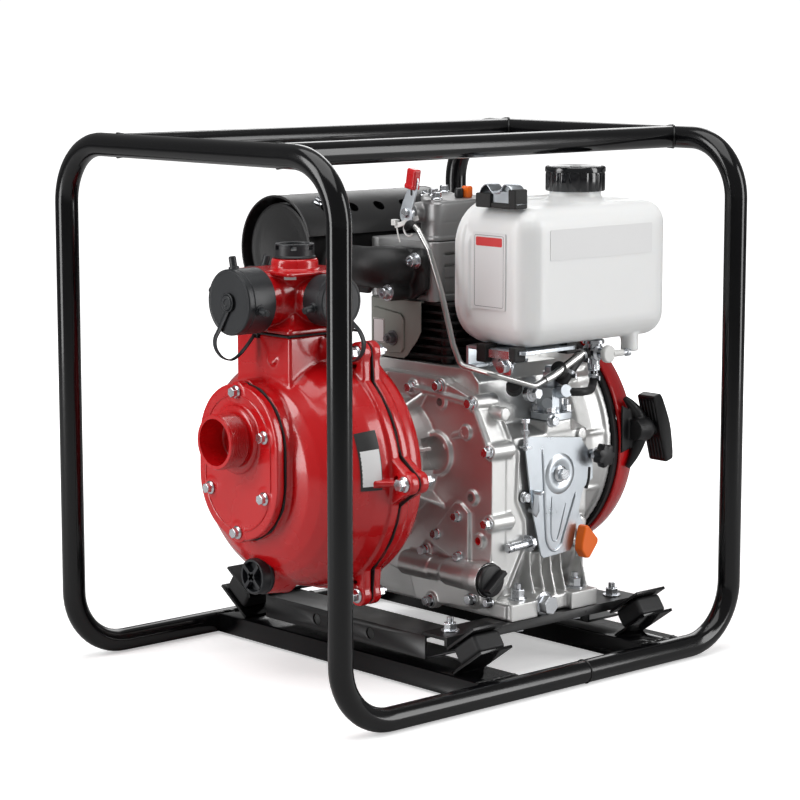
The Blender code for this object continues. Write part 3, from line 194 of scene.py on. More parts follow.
SKINS = {
    "cage": surface("cage_black", (0.003, 0.003, 0.0035), 0, 0.15, 700, 0.08, 0.2, 0.04, 0.2, 0.05,
                    specular=0.35),
    "frame": surface("subframe_black", (0.006, 0.006, 0.0065), 0, 0.32, 800, 0.15, 0.25, 0.08),
    "rubber": surface("mount_rubber", (0.010, 0.010, 0.011), 0, 0.55, 1500, 0.35, 0.2, 0.10),
    "red": surface("pump_red", (0.55, 0.0035, 0.006), 0, 0.26, 420, 0.16, 0.10, 0.06, 0.6, 0.07,
                   specular=0.45),
    "starter": surface("starter_red", (0.66, 0.007, 0.010), 0, 0.22, 900, 0.05, 0.05, 0.03, 0.5, 0.06),
    "gasket": surface("gasket_black", (0.008, 0.008, 0.008), 0, 0.60, 1800, 0.5, 0.3, 0.10),
    "cap": surface("cap_plastic", (0.013, 0.0145, 0.017), 0, 0.40, 2200, 0.18, 0.15, 0.06),
    "plastic": surface("engine_plastic", (0.008, 0.008, 0.009), 0, 0.42, 2200, 0.15, 0.15, 0.06),
    "bronze": surface("impeller_bronze", (0.55, 0.34, 0.13), 1, 0.38, 600, 0.2, 0.15, 0.08),
    "cast": surface("cast_aluminium", (0.70, 0.70, 0.69), 0.85, 0.36, 900, 0.30, 0.10, 0.07,
                    depth=0.0005),
    "machined": surface("machined_aluminium", (0.74, 0.74, 0.73), 1, 0.26, 2500, 0.08, 0.05, 0.05),
    "barrel": surface("cylinder_black", (0.010, 0.010, 0.010), 0.1, 0.45, 900, 0.35, 0.25, 0.08),
    "zinc": surface("zinc_steel", (0.68, 0.70, 0.73), 1, 0.24, 700, 0.10, 0.10, 0.08, patch=60),
    "iron": surface("flywheel_iron", (0.20, 0.20, 0.21), 0.9, 0.5, 700, 0.3, 0.15, 0.08),
    "heat": surface("exhaust_black", (0.010, 0.010, 0.0105), 0, 0.50, 1300, 0.30, 0.2, 0.07),
    "grey": surface("baffle_grey", (0.30, 0.32, 0.29), 0.35, 0.36, 900, 0.08, 0.06, 0.05),
    "tank": surface("tank_white", (0.88, 0.885, 0.88), 0, 0.34, 1400, 0.10, 0.015, 0.05, 0.1, 0.2,
                    subsurface=0.25),
    "headcast": surface("head_aluminium", (0.36, 0.36, 0.36), 0.8, 0.46, 900, 0.25, 0.12, 0.07,
                        depth=0.0005),
    "shield": surface("shield_black", (0.012, 0.012, 0.0125), 0, 0.40, 1300, 0.15, 0.15, 0.06),
    "zincmatt": surface("zinc_sheet", (0.62, 0.66, 0.70), 1, 0.33, 900, 0.06, 0.08, 0.06, patch=35),
    "pipe": surface("steel_pipe", (0.50, 0.50, 0.49), 1, 0.30, 900, 0.06, 0.10, 0.06),
    "rope": surface("starter_cord", (0.05, 0.05, 0.055), 0, 0.80, 1800, 0.6, 0.3, 0.08),
    "gloss": surface("fuel_cap_black", (0.006, 0.0065, 0.008), 0, 0.16, 1500, 0.05, 0.15, 0.04, 0.5,
                     0.06),
    "stripe": surface("label_red", (0.70, 0.05, 0.05), 0, 0.40, 1500, 0.04, 0.03, 0.05),
    "orange": surface("grip_orange", (0.95, 0.16, 0.006), 0, 0.35, 1500, 0.1, 0.05, 0.05),
    "grip": surface("grip_red", (0.60, 0.004, 0.008), 0, 0.30, 1500, 0.1, 0.06, 0.05, 0.4, 0.1),
    "white": surface("knob_white", (0.80, 0.80, 0.78), 0, 0.35, 1500, 0.08, 0.03, 0.05),
    "label": surface("label_white", (0.82, 0.82, 0.82), 0, 0.38, 1500, 0.04, 0.02, 0.05),
    # Black for the casing plate and the label line, and painted shade in the slots and the pin hole.
    "plate": surface("black_plate_and_slot_shade", (0.02, 0.02, 0.02), 0, 0.35, 1500, 0.04, 0.10, 0.05),
    "weld": surface("weld_black", (0.007, 0.007, 0.007), 0, 0.32, 260, 0.6, 0.2, 0.1),
}

NODE_SKINS = {
    "cage": "left_top_rail right_top_rail front_hoop rear_hoop front_cross_member rear_cross_member",
    "frame": "subframe_front_channel subframe_rear_channel subframe_left_rail subframe_right_rail",
    "rubber": "mount_front_left mount_front_right mount_rear_left mount_rear_right fuel_hose",
    "red": "pump_casing pump_rear_cover suction_cover discharge_head",
    "starter": "recoil_housing",
    "gasket": "casing_gasket suction_gasket head_gasket shaft_seal",
    "cap": "front_cap right_cap left_cap priming_plug drain_plug recoil_pulley fuel_cap",
    "plastic": "recoil_flange rope_guide recoil_handle oil_filler_cap tank_bracket speed_knob",
    "bronze": "impeller",
    "cast": "crankcase crankcase_cover cylinder_head rocker_cover piston fan_housing",
    "barrel": "cylinder",
    "zinc": "crankshaft injection_pump fuel_cock return_pipe control_plate speed_lever stop_lever "
            "decompression_lever",
    "iron": "flywheel",
    "heat": "muffler heat_shield exhaust_elbow",
    "grey": "cylinder_baffle",
    "tank": "fuel_tank",
    "white": "fuel_cock_knob",
}
BODY_OF = {node: body for body, nodes in frame["record"]["behaviour"]["bodies"].items()
           for node in nodes}


# ---------------------------------------------------------------- mesh helpers

def basis(axis):
    """Rotation that takes +Z to the axis."""
    axis = Vector(axis).normalized()
    return Z.rotation_difference(axis).to_matrix()


def cyl(bm, start, end, radius, end_radius=None, steps=32):
    """Capped cylinder or cone between two points."""
    start, end = Vector(start), Vector(end)
    turn = basis(end - start)
    rings = []
    for centre, r in ((start, radius), (end, radius if end_radius is None else end_radius)):
        rings.append([bm.verts.new(centre + turn @ Vector((r * math.cos(a), r * math.sin(a), 0)))
                      for a in (2 * math.pi * i / steps for i in range(steps))])
    bm.faces.new(rings[0][::-1])
    bm.faces.new(rings[1])
    bridge(bm, rings)


def bridge(bm, rings, loop=False):
    pairs = list(zip(rings, rings[1:])) + ([(rings[-1], rings[0])] if loop else [])
    for low, high in pairs:
        for i in range(len(low)):
            j = (i + 1) % len(low)
            bm.faces.new((low[i], low[j], high[j], high[i]))


def lathe(bm, profile, origin, axis, steps=48, loop=False):
    """Turned solid: profile of (radius, distance along the axis) from the origin."""
    origin, turn = Vector(origin), basis(axis)
    rings = []
    for r, d in profile:
        r = max(r, 1e-5)
        rings.append([bm.verts.new(origin + turn @ Vector((r * math.cos(a), r * math.sin(a), d)))
                      for a in (2 * math.pi * i / steps for i in range(steps))])
    bridge(bm, rings, loop)
    if not loop:
        bm.faces.new(rings[0][::-1])
        bm.faces.new(rings[-1])


def slab(bm, outline, plane, low, high):
    """Flat outline in a plane (YZ, XZ or XY) pulled out between two levels of the third axis."""
    def at(a, b, level):
        return {"YZ": (level, a, b), "XZ": (a, level, b), "XY": (a, b, level)}[plane]
    rings = [[bm.verts.new(at(a, b, level)) for a, b in outline] for level in (low, high)]
    bm.faces.new(rings[0])
    bm.faces.new(rings[1][::-1])
    bridge(bm, rings)


def block(bm, low, high, turn=None):
    """Box between two corners, turned about its middle."""
    low, high = Vector(low), Vector(high)
    made = bmesh.ops.create_cube(bm, size=1.0)["verts"]
    bmesh.ops.scale(bm, vec=high - low, verts=made)
    if turn is not None:
        bmesh.ops.transform(bm, matrix=turn, verts=made)
    bmesh.ops.translate(bm, vec=(low + high) / 2, verts=made)


def racetrack(half_w, half_h, centre_z, steps=16):
    straight = half_h - half_w
    arc = [math.pi * i / steps for i in range(steps + 1)]
    top = [(half_w * math.cos(a), centre_z + straight + half_w * math.sin(a)) for a in arc]
    return top + [(-x, 2 * centre_z - z) for x, z in top]


def hexagon(bm, at, axis, across, height, spin=0.0, chamfer=0.0006):
    """Hexagon head standing on a point."""
    at, turn = Vector(at), basis(axis)
    corner = across / math.sqrt(3)
    rings = []
    for r, d in ((corner, 0), (corner, height - chamfer), (corner - chamfer, height)):
        rings.append([bm.verts.new(at + turn @ Vector((r * math.cos(a), r * math.sin(a), d)))
                      for a in (spin + math.pi * i / 3 for i in range(6))])
    bm.faces.new(rings[0][::-1])
    bm.faces.new(rings[-1])
    bridge(bm, rings)


def bolt(bm, at, axis, across=0.010, height=0.006, spin=0.0, washer=1.0):
    """Flanged hexagon bolt head."""
    at, axis = Vector(at), Vector(axis).normalized()
    r = across * 0.72 * washer
    lathe(bm, [(r, 0), (r, 0.0012), (r * 0.9, 0.0018), (across * 0.5, 0.0026)], at, axis, 24)
    hexagon(bm, at + axis * 0.0015, axis, across, height, spin)


def nut(bm, at, axis, across=0.013, height=0.009, stud=0.004, spin=0.3):
    """Nut on a washer with the end of its stud standing out."""
    at, axis = Vector(at), Vector(axis).normalized()
    cyl(bm, at, at + axis * 0.0014, across * 0.78, steps=24)
    hexagon(bm, at + axis * 0.0014, axis, across, height, spin)
    cyl(bm, at, at + axis * (0.0014 + height + stud), across * 0.29, steps=16)


def emit(name, bm, skin, body=None, bevel=0.0, segments=2, smooth=32, stands_for=()):
    """Turn a bmesh into a piece that rides on its body."""
    bmesh.ops.recalc_face_normals(bm, faces=bm.faces)
    mesh = bpy.data.meshes.new(name)
    bm.to_mesh(mesh)
    bm.free()
    obj = bpy.data.objects.new(name, mesh)
    bpy.context.scene.collection.objects.link(obj)
    return dress(obj, skin, body, bevel, segments, smooth, stands_for)


def dress(obj, skin, body=None, bevel=0.0, segments=2, smooth=32, stands_for=()):
    obj.data.materials.clear()
    obj.data.materials.append(SKINS[skin])
    if bevel:
        step = obj.modifiers.new("edges", "BEVEL")
        step.width = bevel
        step.segments = segments
        step.limit_method = "ANGLE"
        step.angle_limit = math.radians(smooth)
        step.harden_normals = True
    if smooth:
        obj.data.polygons.foreach_set("use_smooth", [True] * len(obj.data.polygons))
        if not bevel:
            obj.data.set_sharp_from_angle(angle=math.radians(smooth))
    nodes = (stands_for,) if isinstance(stands_for, str) else tuple(stands_for)
    if nodes:
        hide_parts(*nodes)
    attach(obj, body or (BODY_OF[nodes[0]] if nodes else "chassis"))
    return obj


def baked(obj):
    """Give the object its evaluated mesh and drop its modifiers."""
    graph = bpy.context.evaluated_depsgraph_get()
    mesh = bpy.data.meshes.new_from_object(obj.evaluated_get(graph))
    obj.modifiers.clear()
    obj.data = mesh
    return obj


def cast(name, bm, skin, voxel=0.0016, rounds=5, stands_for=(), body=None, holes=None):
    """Casting: overlapping solids melted into one skin with rounded inside and outside corners."""
    bmesh.ops.recalc_face_normals(bm, faces=bm.faces)
    mesh = bpy.data.meshes.new(name)
    bm.to_mesh(mesh)
    bm.free()
    obj = bpy.data.objects.new(name, mesh)
    bpy.context.scene.collection.objects.link(obj)
    melt = obj.modifiers.new("melt", "REMESH")
    melt.mode = "VOXEL"
    melt.voxel_size = voxel
    soften = obj.modifiers.new("soften", "SMOOTH")
    soften.factor = 0.5
    soften.iterations = rounds
    baked(obj)
    if holes is not None:
        bmesh.ops.recalc_face_normals(holes, faces=holes.faces)
        tool_mesh = bpy.data.meshes.new(name + "_holes")
        holes.to_mesh(tool_mesh)
        holes.free()
        tool = bpy.data.objects.new(name + "_holes", tool_mesh)
        bpy.context.scene.collection.objects.link(tool)
        step = obj.modifiers.new("holes", "BOOLEAN")
        step.object = tool
        step.solver = "FAST"
        baked(obj)
        bpy.data.objects.remove(tool)
    return dress(obj, skin, body, smooth=50, stands_for=stands_for)


def refine(node, skin, bevel=0.0008, segments=2, smooth=32):
    """Copy of a CAD node with eased edges and smooth rounds."""
    bm = bmesh.new()
    bm.from_mesh(bpy.data.objects[node].data)
    bmesh.ops.remove_doubles(bm, verts=bm.verts, dist=0.00001)
    bmesh.ops.dissolve_limit(bm, angle_limit=math.radians(1.0), verts=bm.verts, edges=bm.edges)
    return emit(node + "_look", bm, skin, bevel=bevel, segments=segments, smooth=smooth,
                stands_for=node)


def wire(name, points, radius, skin, body="chassis", stands_for=(), closed=False, smooth=True,
         resolution=5):
    """Round wire, hose or tube through the points."""
    data = bpy.data.curves.new(name, "CURVE")
    data.dimensions = "3D"
    data.bevel_depth = radius
    data.bevel_resolution = resolution
    data.use_fill_caps = not closed
    route = curve_through(points, 6) if smooth else [Vector(p) for p in points]
    spline = data.splines.new("POLY")
    spline.points.add(len(route) - 1)
    for point, place in zip(spline.points, route):
        point.co = (*place, 1)
    spline.use_cyclic_u = closed
    obj = bpy.data.objects.new(name, data)
    bpy.context.scene.collection.objects.link(obj)
    data.materials.append(SKINS[skin])
    nodes = (stands_for,) if isinstance(stands_for, str) else tuple(stands_for)
    if nodes:
        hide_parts(*nodes)
    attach(obj, BODY_OF[nodes[0]] if nodes else body)
    return obj


def curve_through(points, steps=6):
    """Catmull-Rom curve through the points."""
    points = [Vector(p) for p in points]
    padded = [2 * points[0] - points[1]] + points + [2 * points[-1] - points[-2]]
    route = []
    for a, b, c, d in zip(padded, padded[1:], padded[2:], padded[3:]):
        for step in range(steps):
            t = step / steps
            route.append(0.5 * (2 * b + (c - a) * t + (2 * a - 5 * b + 4 * c - d) * t * t
                                + (3 * b - a - 3 * c + d) * t * t * t))
    return route + [points[-1]]


def filleted(corners, radius, steps=10):
    """Polyline through the corners with each inner corner turned into an arc."""
    corners = [Vector(c) for c in corners]
    path = [corners[0]]
    for before, corner, after in zip(corners, corners[1:], corners[2:]):
        into = (corner - before).normalized()
        out = (after - corner).normalized()
        turn = into.angle(out)
        trim = radius * math.tan(turn / 2)
        centre = corner + (out - into).normalized() * (radius / math.cos(turn / 2))
        spin = into.cross(out).normalized()
        arm = corner - into * trim - centre
        for step in range(steps + 1):
            path.append(centre + Matrix.Rotation(turn * step / steps, 3, spin) @ arm)
    path.append(corners[-1])
    return path


def band(bm, points, across, width, thick, taper=1.0):
    """Flat strap along the points; across is the direction of its width."""
    route = curve_through(points, 6)
    across = Vector(across)
    rings = []
    for i, place in enumerate(route):
        before, after = route[max(i - 1, 0)], route[min(i + 1, len(route) - 1)]
        ahead = (after - before).normalized()
        side = (across - ahead * across.dot(ahead)).normalized()
        up = ahead.cross(side)
        w = width / 2 * (1 + (taper - 1) * i / len(route))
        t = thick / 2
        rings.append([bm.verts.new(place + side * a * w + up * b * t) for a, b in (
            (-1, -0.5), (-0.8, -1), (0.8, -1), (1, -0.5), (1, 0.5), (0.8, 1), (-0.8, 1), (-1, 0.5))])
    bridge(bm, rings)
    bm.faces.new(rings[0][::-1])
    bm.faces.new(rings[-1])


def ring_bead(bm, centre, axis, radius, thick, wobble=0.12, steps=56, sides=8):
    """Weld bead: a lumpy ring round a tube."""
    centre, turn = Vector(centre), basis(axis)
    rings = []
    for i in range(steps):
        a = 2 * math.pi * i / steps
        out = turn @ Vector((math.cos(a), math.sin(a), 0))
        r = thick * (1 + wobble * math.sin(a * 19))
        middle = centre + out * radius
        rings.append([bm.verts.new(middle + out * r * math.cos(b) + turn @ Z * r * math.sin(b))
                      for b in (2 * math.pi * j / sides for j in range(sides))])
    bridge(bm, rings, loop=True)


# ---------------------------------------------------------------- cage and subframe

TUBE_R, HALF_W, HALF_L, LOW, HIGH = 0.0127, 0.2273, 0.2931, 0.0127, 0.5792
JOINT_Y, BEND_R, RAIL_X = 0.055, 0.066, 0.1333
MOUNT_X, MOUNT_Z, TILT = 0.192, 0.0535, math.radians(35)
MEMBER_YS = (-0.068, 0.184)
STUD_X, STUD_Z, STUD_GRIP = 0.1470, 0.0640, 0.0045


def make_cage():
    for node, end in (("front_hoop", -1), ("rear_hoop", 1)):
        joint = JOINT_Y + end * 0.0001
        corners = [(HALF_W, joint, LOW), (HALF_W, end * HALF_L, LOW), (HALF_W, end * HALF_L, HIGH),
                   (-HALF_W, end * HALF_L, HIGH), (-HALF_W, end * HALF_L, LOW),
                   (-HALF_W, joint, LOW)]
        wire(node + "_tube", filleted(corners, BEND_R, 16), TUBE_R, "cage", stands_for=node,
             smooth=False, resolution=9)
    for node, side in (("right_top_rail", 1), ("left_top_rail", -1)):
        ends = [(side * RAIL_X, y * (HALF_L - 0.004), HIGH) for y in (-1, 1)]
        wire(node + "_tube", ends, TUBE_R - 0.0003, "cage", stands_for=node, smooth=False,
             resolution=9)

    beads = bmesh.new()
    for side in (-1, 1):
        ring_bead(beads, (side * HALF_W, JOINT_Y, LOW), Y, TUBE_R, 0.0009)
        for end in (-1, 1):
            saddle_bead(beads, Vector((side * RAIL_X, end * HALF_L, HIGH)), -end)
    for y in MEMBER_YS:
        for side in (-1, 1):
            for edge in (-1, 1):
                top = side * (HALF_W - 0.0100)
                wobbly = [(top + side * 0.0008 * math.sin(i * 2.1), y + edge * 0.0283 * i / 6,
                           0.0243 + 0.0003 * math.cos(i * 1.7)) for i in range(7)]
                sweep(beads, curve_through(wobbly, 4), 0.0016)
    emit("cage_welds", beads, "weld")


def sweep(bm, route, radius, sides=10, wobble=0.0):
    """Closed round sweep along a route, with radius as a number or a function of 0 to 1."""
    size = radius if callable(radius) else lambda t: radius
    rings = []
    up = None
    for i, place in enumerate(route):
        before, after = route[max(i - 1, 0)], route[min(i + 1, len(route) - 1)]
        ahead = (after - before).normalized()
        if up is None:
            up = ahead.orthogonal().normalized()
        up = (up - ahead * up.dot(ahead)).normalized()
        side = ahead.cross(up)
        r = size(i / (len(route) - 1)) * (1 + wobble * math.sin(i * 2.3))
        rings.append([bm.verts.new(place + up * r * math.cos(a) + side * r * math.sin(a))
                      for a in (2 * math.pi * j / sides for j in range(sides))])
    bridge(bm, rings)
    bm.faces.new(rings[0][::-1])
    bm.faces.new(rings[-1])


def saddle_bead(bm, centre, inward):
    """Weld where a top rail's end meets the bar that it butts on."""
    route = []
    for i in range(49):
        a = 2 * math.pi * i / 48
        x, z = (TUBE_R) * math.cos(a), (TUBE_R) * math.sin(a)
        reach = math.sqrt(max(TUBE_R ** 2 - z * z, 0)) + 0.0006
        route.append(centre + Vector((x, inward * reach, z * 0.99)))
    sweep(bm, route, 0.0013, wobble=0.15)


def make_subframe():
    for node in ("front_cross_member", "rear_cross_member"):
        refine(node, "cage", 0.0010)
    for node in ("subframe_front_channel", "subframe_rear_channel", "subframe_left_rail",
                 "subframe_right_rail"):
        refine(node, "frame", 0.0009)
    hardware = bmesh.new()
    for x_name, side in (("right", 1), ("left", -1)):
        for y_name, y in (("front", MEMBER_YS[0]), ("rear", MEMBER_YS[1])):
            body = bmesh.new()
            turn = Matrix.Rotation(-side * TILT, 4, "Y")
            size = Vector((0.0375, 0.0395, 0.0218)) / 2
            middle = Vector((side * MOUNT_X, y, MOUNT_Z))
            block(body, middle - size, middle + size, turn)
            waist = Vector((0.0340, 0.0360, 0.0120)) / 2
            block(body, middle - waist * 1.06, middle + waist * 1.06, turn)
            emit(f"mount_{y_name}_{x_name}_block", body, "rubber", bevel=0.0045, segments=4,
                 stands_for=f"mount_{y_name}_{x_name}")
            nut(hardware, (side * STUD_X, y, STUD_Z), Z, 0.013, 0.0075, 0.006)
            hexagon(hardware, (side * STUD_X, y, STUD_Z - STUD_GRIP), -Z, 0.013, 0.0050, 0.2)
    emit("mount_nuts", hardware, "zinc", bevel=0.0003, segments=1)


# ---------------------------------------------------------------- pump

SPLIT_Y, NECK_Y, NECK_HALF, NECK_TOP = -0.1255, -0.159, 0.0445, 0.3812
COVER_Z, PAD_Y, COVER_FACE = 0.248, -0.2265, -0.2393
SUCTION_Z, MOUTH_Y = 0.2727, -0.2705
COVER_BOLTS = ((0.0, 0.0755), (0.0455, 0.032), (0.0455, -0.033), (0.0, -0.0755),
               (-0.0455, -0.033), (-0.0455, 0.032))
LUG_R = 0.151


def around(angle, radius, y):
    return Vector((radius * math.cos(angle), y, AXIS_Z + radius * math.sin(angle)))


def lugs(bm, front, back, rib_end):
    """Six bolt lugs on a flange, each with a web that runs to rib_end."""
    for index in range(6):
        angle = math.radians(60 * index)
        low, high = min(front, back), max(front, back)
        start, end = around(angle, LUG_R, low), around(angle, LUG_R, high)
        cyl(bm, start, end, 0.0122, steps=28)
        for lean in (-1, 1):
            near = angle + lean * math.radians(13)
            corners = [around(near, 0.128, 0), around(angle + lean * 0.078, 0.152, 0),
                       around(angle, 0.120, 0)]
            slab(bm, [(c.x, c.z) for c in corners], "XZ", low, high)
        fin(bm, angle, front, rib_end)


def fin(bm, angle, start, end):
    """Triangular stiffening rib from a lug down to the shell."""
    outer, inner = 0.147, 0.112
    thick = 0.0030
    side = Vector((-math.sin(angle), 0, math.cos(angle))) * thick
    corners = [around(angle, outer, start), around(angle, inner, start),
               around(angle, inner, end), around(angle, 0.121, end)]
    rings = [[bm.verts.new(c + side * s) for c in corners] for s in (-1, 1)]
    bm.faces.new(rings[0])
    bm.faces.new(rings[1][::-1])
    bridge(bm, rings)


def make_pump():
    front = SPLIT_Y - 0.0009
    shell = [(0.0, 0.0), (0.058, 0.0), (0.074, 0.0018), (0.088, 0.0058), (0.100, 0.0128),
             (0.1105, 0.0225), (0.1190, 0.0350), (0.1250, 0.0490), (0.1290, 0.0640),
             (0.1308, 0.0780), (0.1315, front + 0.2215)]
    bm = bmesh.new()
    profile = shell + [(0.1250, front + 0.2215), (0.1235, 0.0640), (0.1130, 0.0370),
                       (0.0950, 0.0190), (0.0640, 0.0085), (0.0, 0.0085)]
    lathe(bm, profile, (0, -0.2215, AXIS_Z), Y, 120)
    lathe(bm, [(0.1340, 0), (0.1340, 0.0118), (0.1252, 0.0118), (0.1252, 0.0)],
          (0, front - 0.0118, AXIS_Z), Y, 120, loop=True)
    lugs(bm, front - 0.0118, front, front - 0.046)
    slab(bm, racetrack(0.0655, 0.084, COVER_Z, 28), "XZ", PAD_Y, -0.200)
    for x, z in COVER_BOLTS:
        cyl(bm, (x, PAD_Y, COVER_Z + z), (x, -0.205, COVER_Z + z), 0.0125)
    block(bm, (-NECK_HALF, NECK_Y - NECK_HALF, 0.330), (NECK_HALF, front, NECK_TOP))
    cyl(bm, (0, -0.2060, 0.1215), (0, -0.176, 0.1215), 0.0205, 0.0240, steps=40)
    cyl(bm, (0.016, -0.2045, 0.3585), (0.016, -0.19, 0.352), 0.0075, steps=24)
    holes = bmesh.new()
    slab(holes, racetrack(0.0435, 0.062, COVER_Z, 20), "XZ", -0.24, -0.205)
    cyl(holes, (0, NECK_Y, 0.33), (0, NECK_Y, 0.40), 0.027)
    cyl(holes, (0, -0.25, 0.1215), (0, -0.18, 0.1215), 0.0112)
    cast("pump_casing_shell", bm, "red", 0.0015, 6, "pump_casing", holes=holes)

    back = SPLIT_Y + 0.0009
    bm = bmesh.new()
    rear = [(0.0, 0.0), (0.1310, 0.0), (0.1305, 0.026), (0.1265, 0.034), (0.1180, 0.0400),
            (0.1020, 0.0440), (0.0780, 0.0480), (0.0640, 0.0560), (0.0600, 0.0640),
            (0.0600, 0.0743), (0.0170, 0.0743), (0.0170, 0.028), (0.112, 0.020), (0.118, 0.001)]
    lathe(bm, rear[1:] , (0, back, AXIS_Z), Y, 120, loop=True)
    lathe(bm, [(0.1340, 0), (0.1340, 0.0118), (0.1190, 0.0118), (0.1190, 0.0)],
          (0, back, AXIS_Z), Y, 120, loop=True)
    lugs(bm, back + 0.0118, back, back + 0.040)
    for index in range(8):
        angle = math.radians(22.5 + 45 * index)
        side = Vector((-math.sin(angle), 0, math.cos(angle))) * 0.0024
        corners = [around(angle, 0.056, -0.0520), around(angle, 0.066, -0.0520),
                   around(angle, 0.104, -0.0830), around(angle, 0.056, -0.0900)]
        rings = [[bm.verts.new(c + side * s) for c in corners] for s in (-1, 1)]
        bm.faces.new(rings[0])
        bm.faces.new(rings[1][::-1])
        bridge(bm, rings)
    cast("pump_rear_cover_shell", bm, "red", 0.0016, 6, "pump_rear_cover")
    for node in ("casing_gasket", "suction_gasket", "head_gasket"):
        refine(node, "gasket", 0.0)
    for node in ("impeller", "shaft_seal"):
        refine(node, "bronze" if node == "impeller" else "gasket", 0.0004, 1)

    seam = bmesh.new()
    sweep(seam, [around(2 * math.pi * i / 180, 0.1342 + 0.0004 * math.sin(i * 1.3), SPLIT_Y)
                 for i in range(181)], lambda t: 0.0009 + 0.0004 * math.sin(t * 97))
    outline = racetrack(0.0657, 0.0842, COVER_Z, 24)
    squeezed = [Vector((x, -0.2281 - 0.0004 * math.sin(i * 1.9), z))
                for i, (x, z) in enumerate(outline + outline[:1])]
    sweep(seam, squeezed, lambda t: 0.0010 + 0.0005 * math.sin(t * 83))
    emit("gasket_edges", seam, "gasket")


SHELL_RIM = ((-0.1750, 0.1243), (-0.1650, 0.1270), (-0.1575, 0.1289), (-0.1505, 0.1299))


def make_casing_label():
    """Blank plate that follows the curve of the casing."""
    for name, skin, low, high, lift in (("casing_label", "plate", -3, 25, 0.0009),
                                        ("casing_label_field", "label", -1, 16, 0.0012)):
        bm = bmesh.new()
        rings = []
        edge = 0.0012 if skin == "label" else 0.0
        for step in range(15):
            angle = math.radians(low + (high - low) * step / 14)
            top = [around(angle, r + lift, y + (edge if k == 0 else -edge if k == 3 else 0))
                   for k, (y, r) in enumerate(SHELL_RIM)]
            under = [around(angle, r - 0.002, y) for y, r in SHELL_RIM[::-1]]
            rings.append([bm.verts.new(point) for point in top + under])
        bridge(bm, rings)
        bm.faces.new(rings[0][::-1])
        bm.faces.new(rings[-1])
        emit(name, bm, skin)


def make_suction():
    bm = bmesh.new()
    slab(bm, racetrack(0.0655, 0.084, COVER_Z, 28), "XZ", COVER_FACE, -0.2293)
    for x, z in COVER_BOLTS:
        cyl(bm, (x, COVER_FACE - 0.0006, COVER_Z + z), (x, -0.230, COVER_Z + z), 0.0115)
    lathe(bm, [(0.0250, 0.0), (0.0365, 0.0), (0.0368, 0.0045), (0.0340, 0.0062),
               (0.0300, 0.0066), (0.0250, 0.0066)], (0, COVER_FACE + 0.0004, SUCTION_Z), -Y, 64,
          loop=True)
    holes = bmesh.new()
    cyl(holes, (0, -0.29, SUCTION_Z), (0, -0.22, SUCTION_Z), 0.0250, steps=64)
    cast("suction_cover_plate", bm, "red", 0.0011, 10, "suction_cover", holes=holes)

    line = bmesh.new()
    outline = racetrack(0.0545, 0.0730, COVER_Z - 0.001, 28)
    sweep(line, [Vector((x, COVER_FACE - 0.0001, z)) for x, z in outline + outline[:1]], 0.0010, 8)
    emit("suction_cover_line", line, "red")

    thread = bmesh.new()
    pitch, start, end = 0.00231, MOUTH_Y, -0.2462
    per_turn, per_pitch = 72, 8
    rows = int((end - start) / pitch * per_pitch)
    rings = []
    for i in range(rows + 1):
        y = start + (end - start) * i / rows
        ring = []
        for j in range(per_turn):
            a = 2 * math.pi * j / per_turn
            turn = ((y - start) / pitch - j / per_turn) % 1.0
            crest = 1 - abs(2 * turn - 1)
            ease = min(1.0, (y - start) / 0.0022, max(0.0, (end - y) / 0.003))
            r = 0.0284 + 0.0014 * min(1.0, max(0.0, crest * 1.5 - 0.25)) * ease
            ring.append(thread.verts.new((r * math.cos(a), y, SUCTION_Z + r * math.sin(a))))
        rings.append(ring)
    inner = []
    for y in (-0.232, start):
        inner.append([thread.verts.new((0.0250 * math.cos(a), y, SUCTION_Z + 0.0250 * math.sin(a)))
                      for a in (2 * math.pi * j / per_turn for j in range(per_turn))])
    foot = [thread.verts.new((0.0284 * math.cos(a), -0.232, SUCTION_Z + 0.0284 * math.sin(a)))
            for a in (2 * math.pi * j / per_turn for j in range(per_turn))]
    bridge(thread, rings + [foot, inner[0], inner[1]], loop=True)
    emit("suction_thread", thread, "red", smooth=40)

    bolts = bmesh.new()
    for index, (x, z) in enumerate(COVER_BOLTS):
        bolt(bolts, (x, COVER_FACE - 0.0010, COVER_Z + z), -Y, 0.0100, 0.0062, 0.5 + index)
    for index in range(6):
        angle = math.radians(60 * index)
        bolt(bolts, around(angle, LUG_R, SPLIT_Y - 0.0128), -Y, 0.0120, 0.0080, index * 0.7)
        nut(bolts, around(angle, LUG_R, SPLIT_Y + 0.0128), Y, 0.012, 0.0085, 0.005, index * 0.5)
    emit("pump_bolts", bolts, "zinc", bevel=0.0002, segments=1)

    plug = bmesh.new()
    centre = Vector((0, -0.2063, 0.1215))
    lathe(plug, [(0.0092, -0.012), (0.0092, 0.0), (0.0205, 0.0), (0.0208, 0.0030),
                 (0.0196, 0.0040), (0.0196, 0.0130), (0.0188, 0.0150), (0.0162, 0.0150),
                 (0.0155, 0.0090), (0.0, 0.0090)], centre, -Y, 64)
    for angle in (0.70, 0.70 + math.pi / 2):
        size = Vector((0.0350, 0.0080, 0.0042)) / 2
        middle = centre + Vector((0, -0.0125, 0))
        block(plug, middle - size, middle + size, Matrix.Rotation(angle, 4, "Y"))
    cyl(plug, centre + Vector((0, -0.009, 0)), centre + Vector((0, -0.0165, 0)), 0.0055)
    emit("drain_plug_moulding", plug, "cap", bevel=0.0005, stands_for="drain_plug")


# ---------------------------------------------------------------- delivery head and caps

OUTLET_Z, PLATE_Z, HEAD_BASE = 0.4187, 0.4455, 0.3836


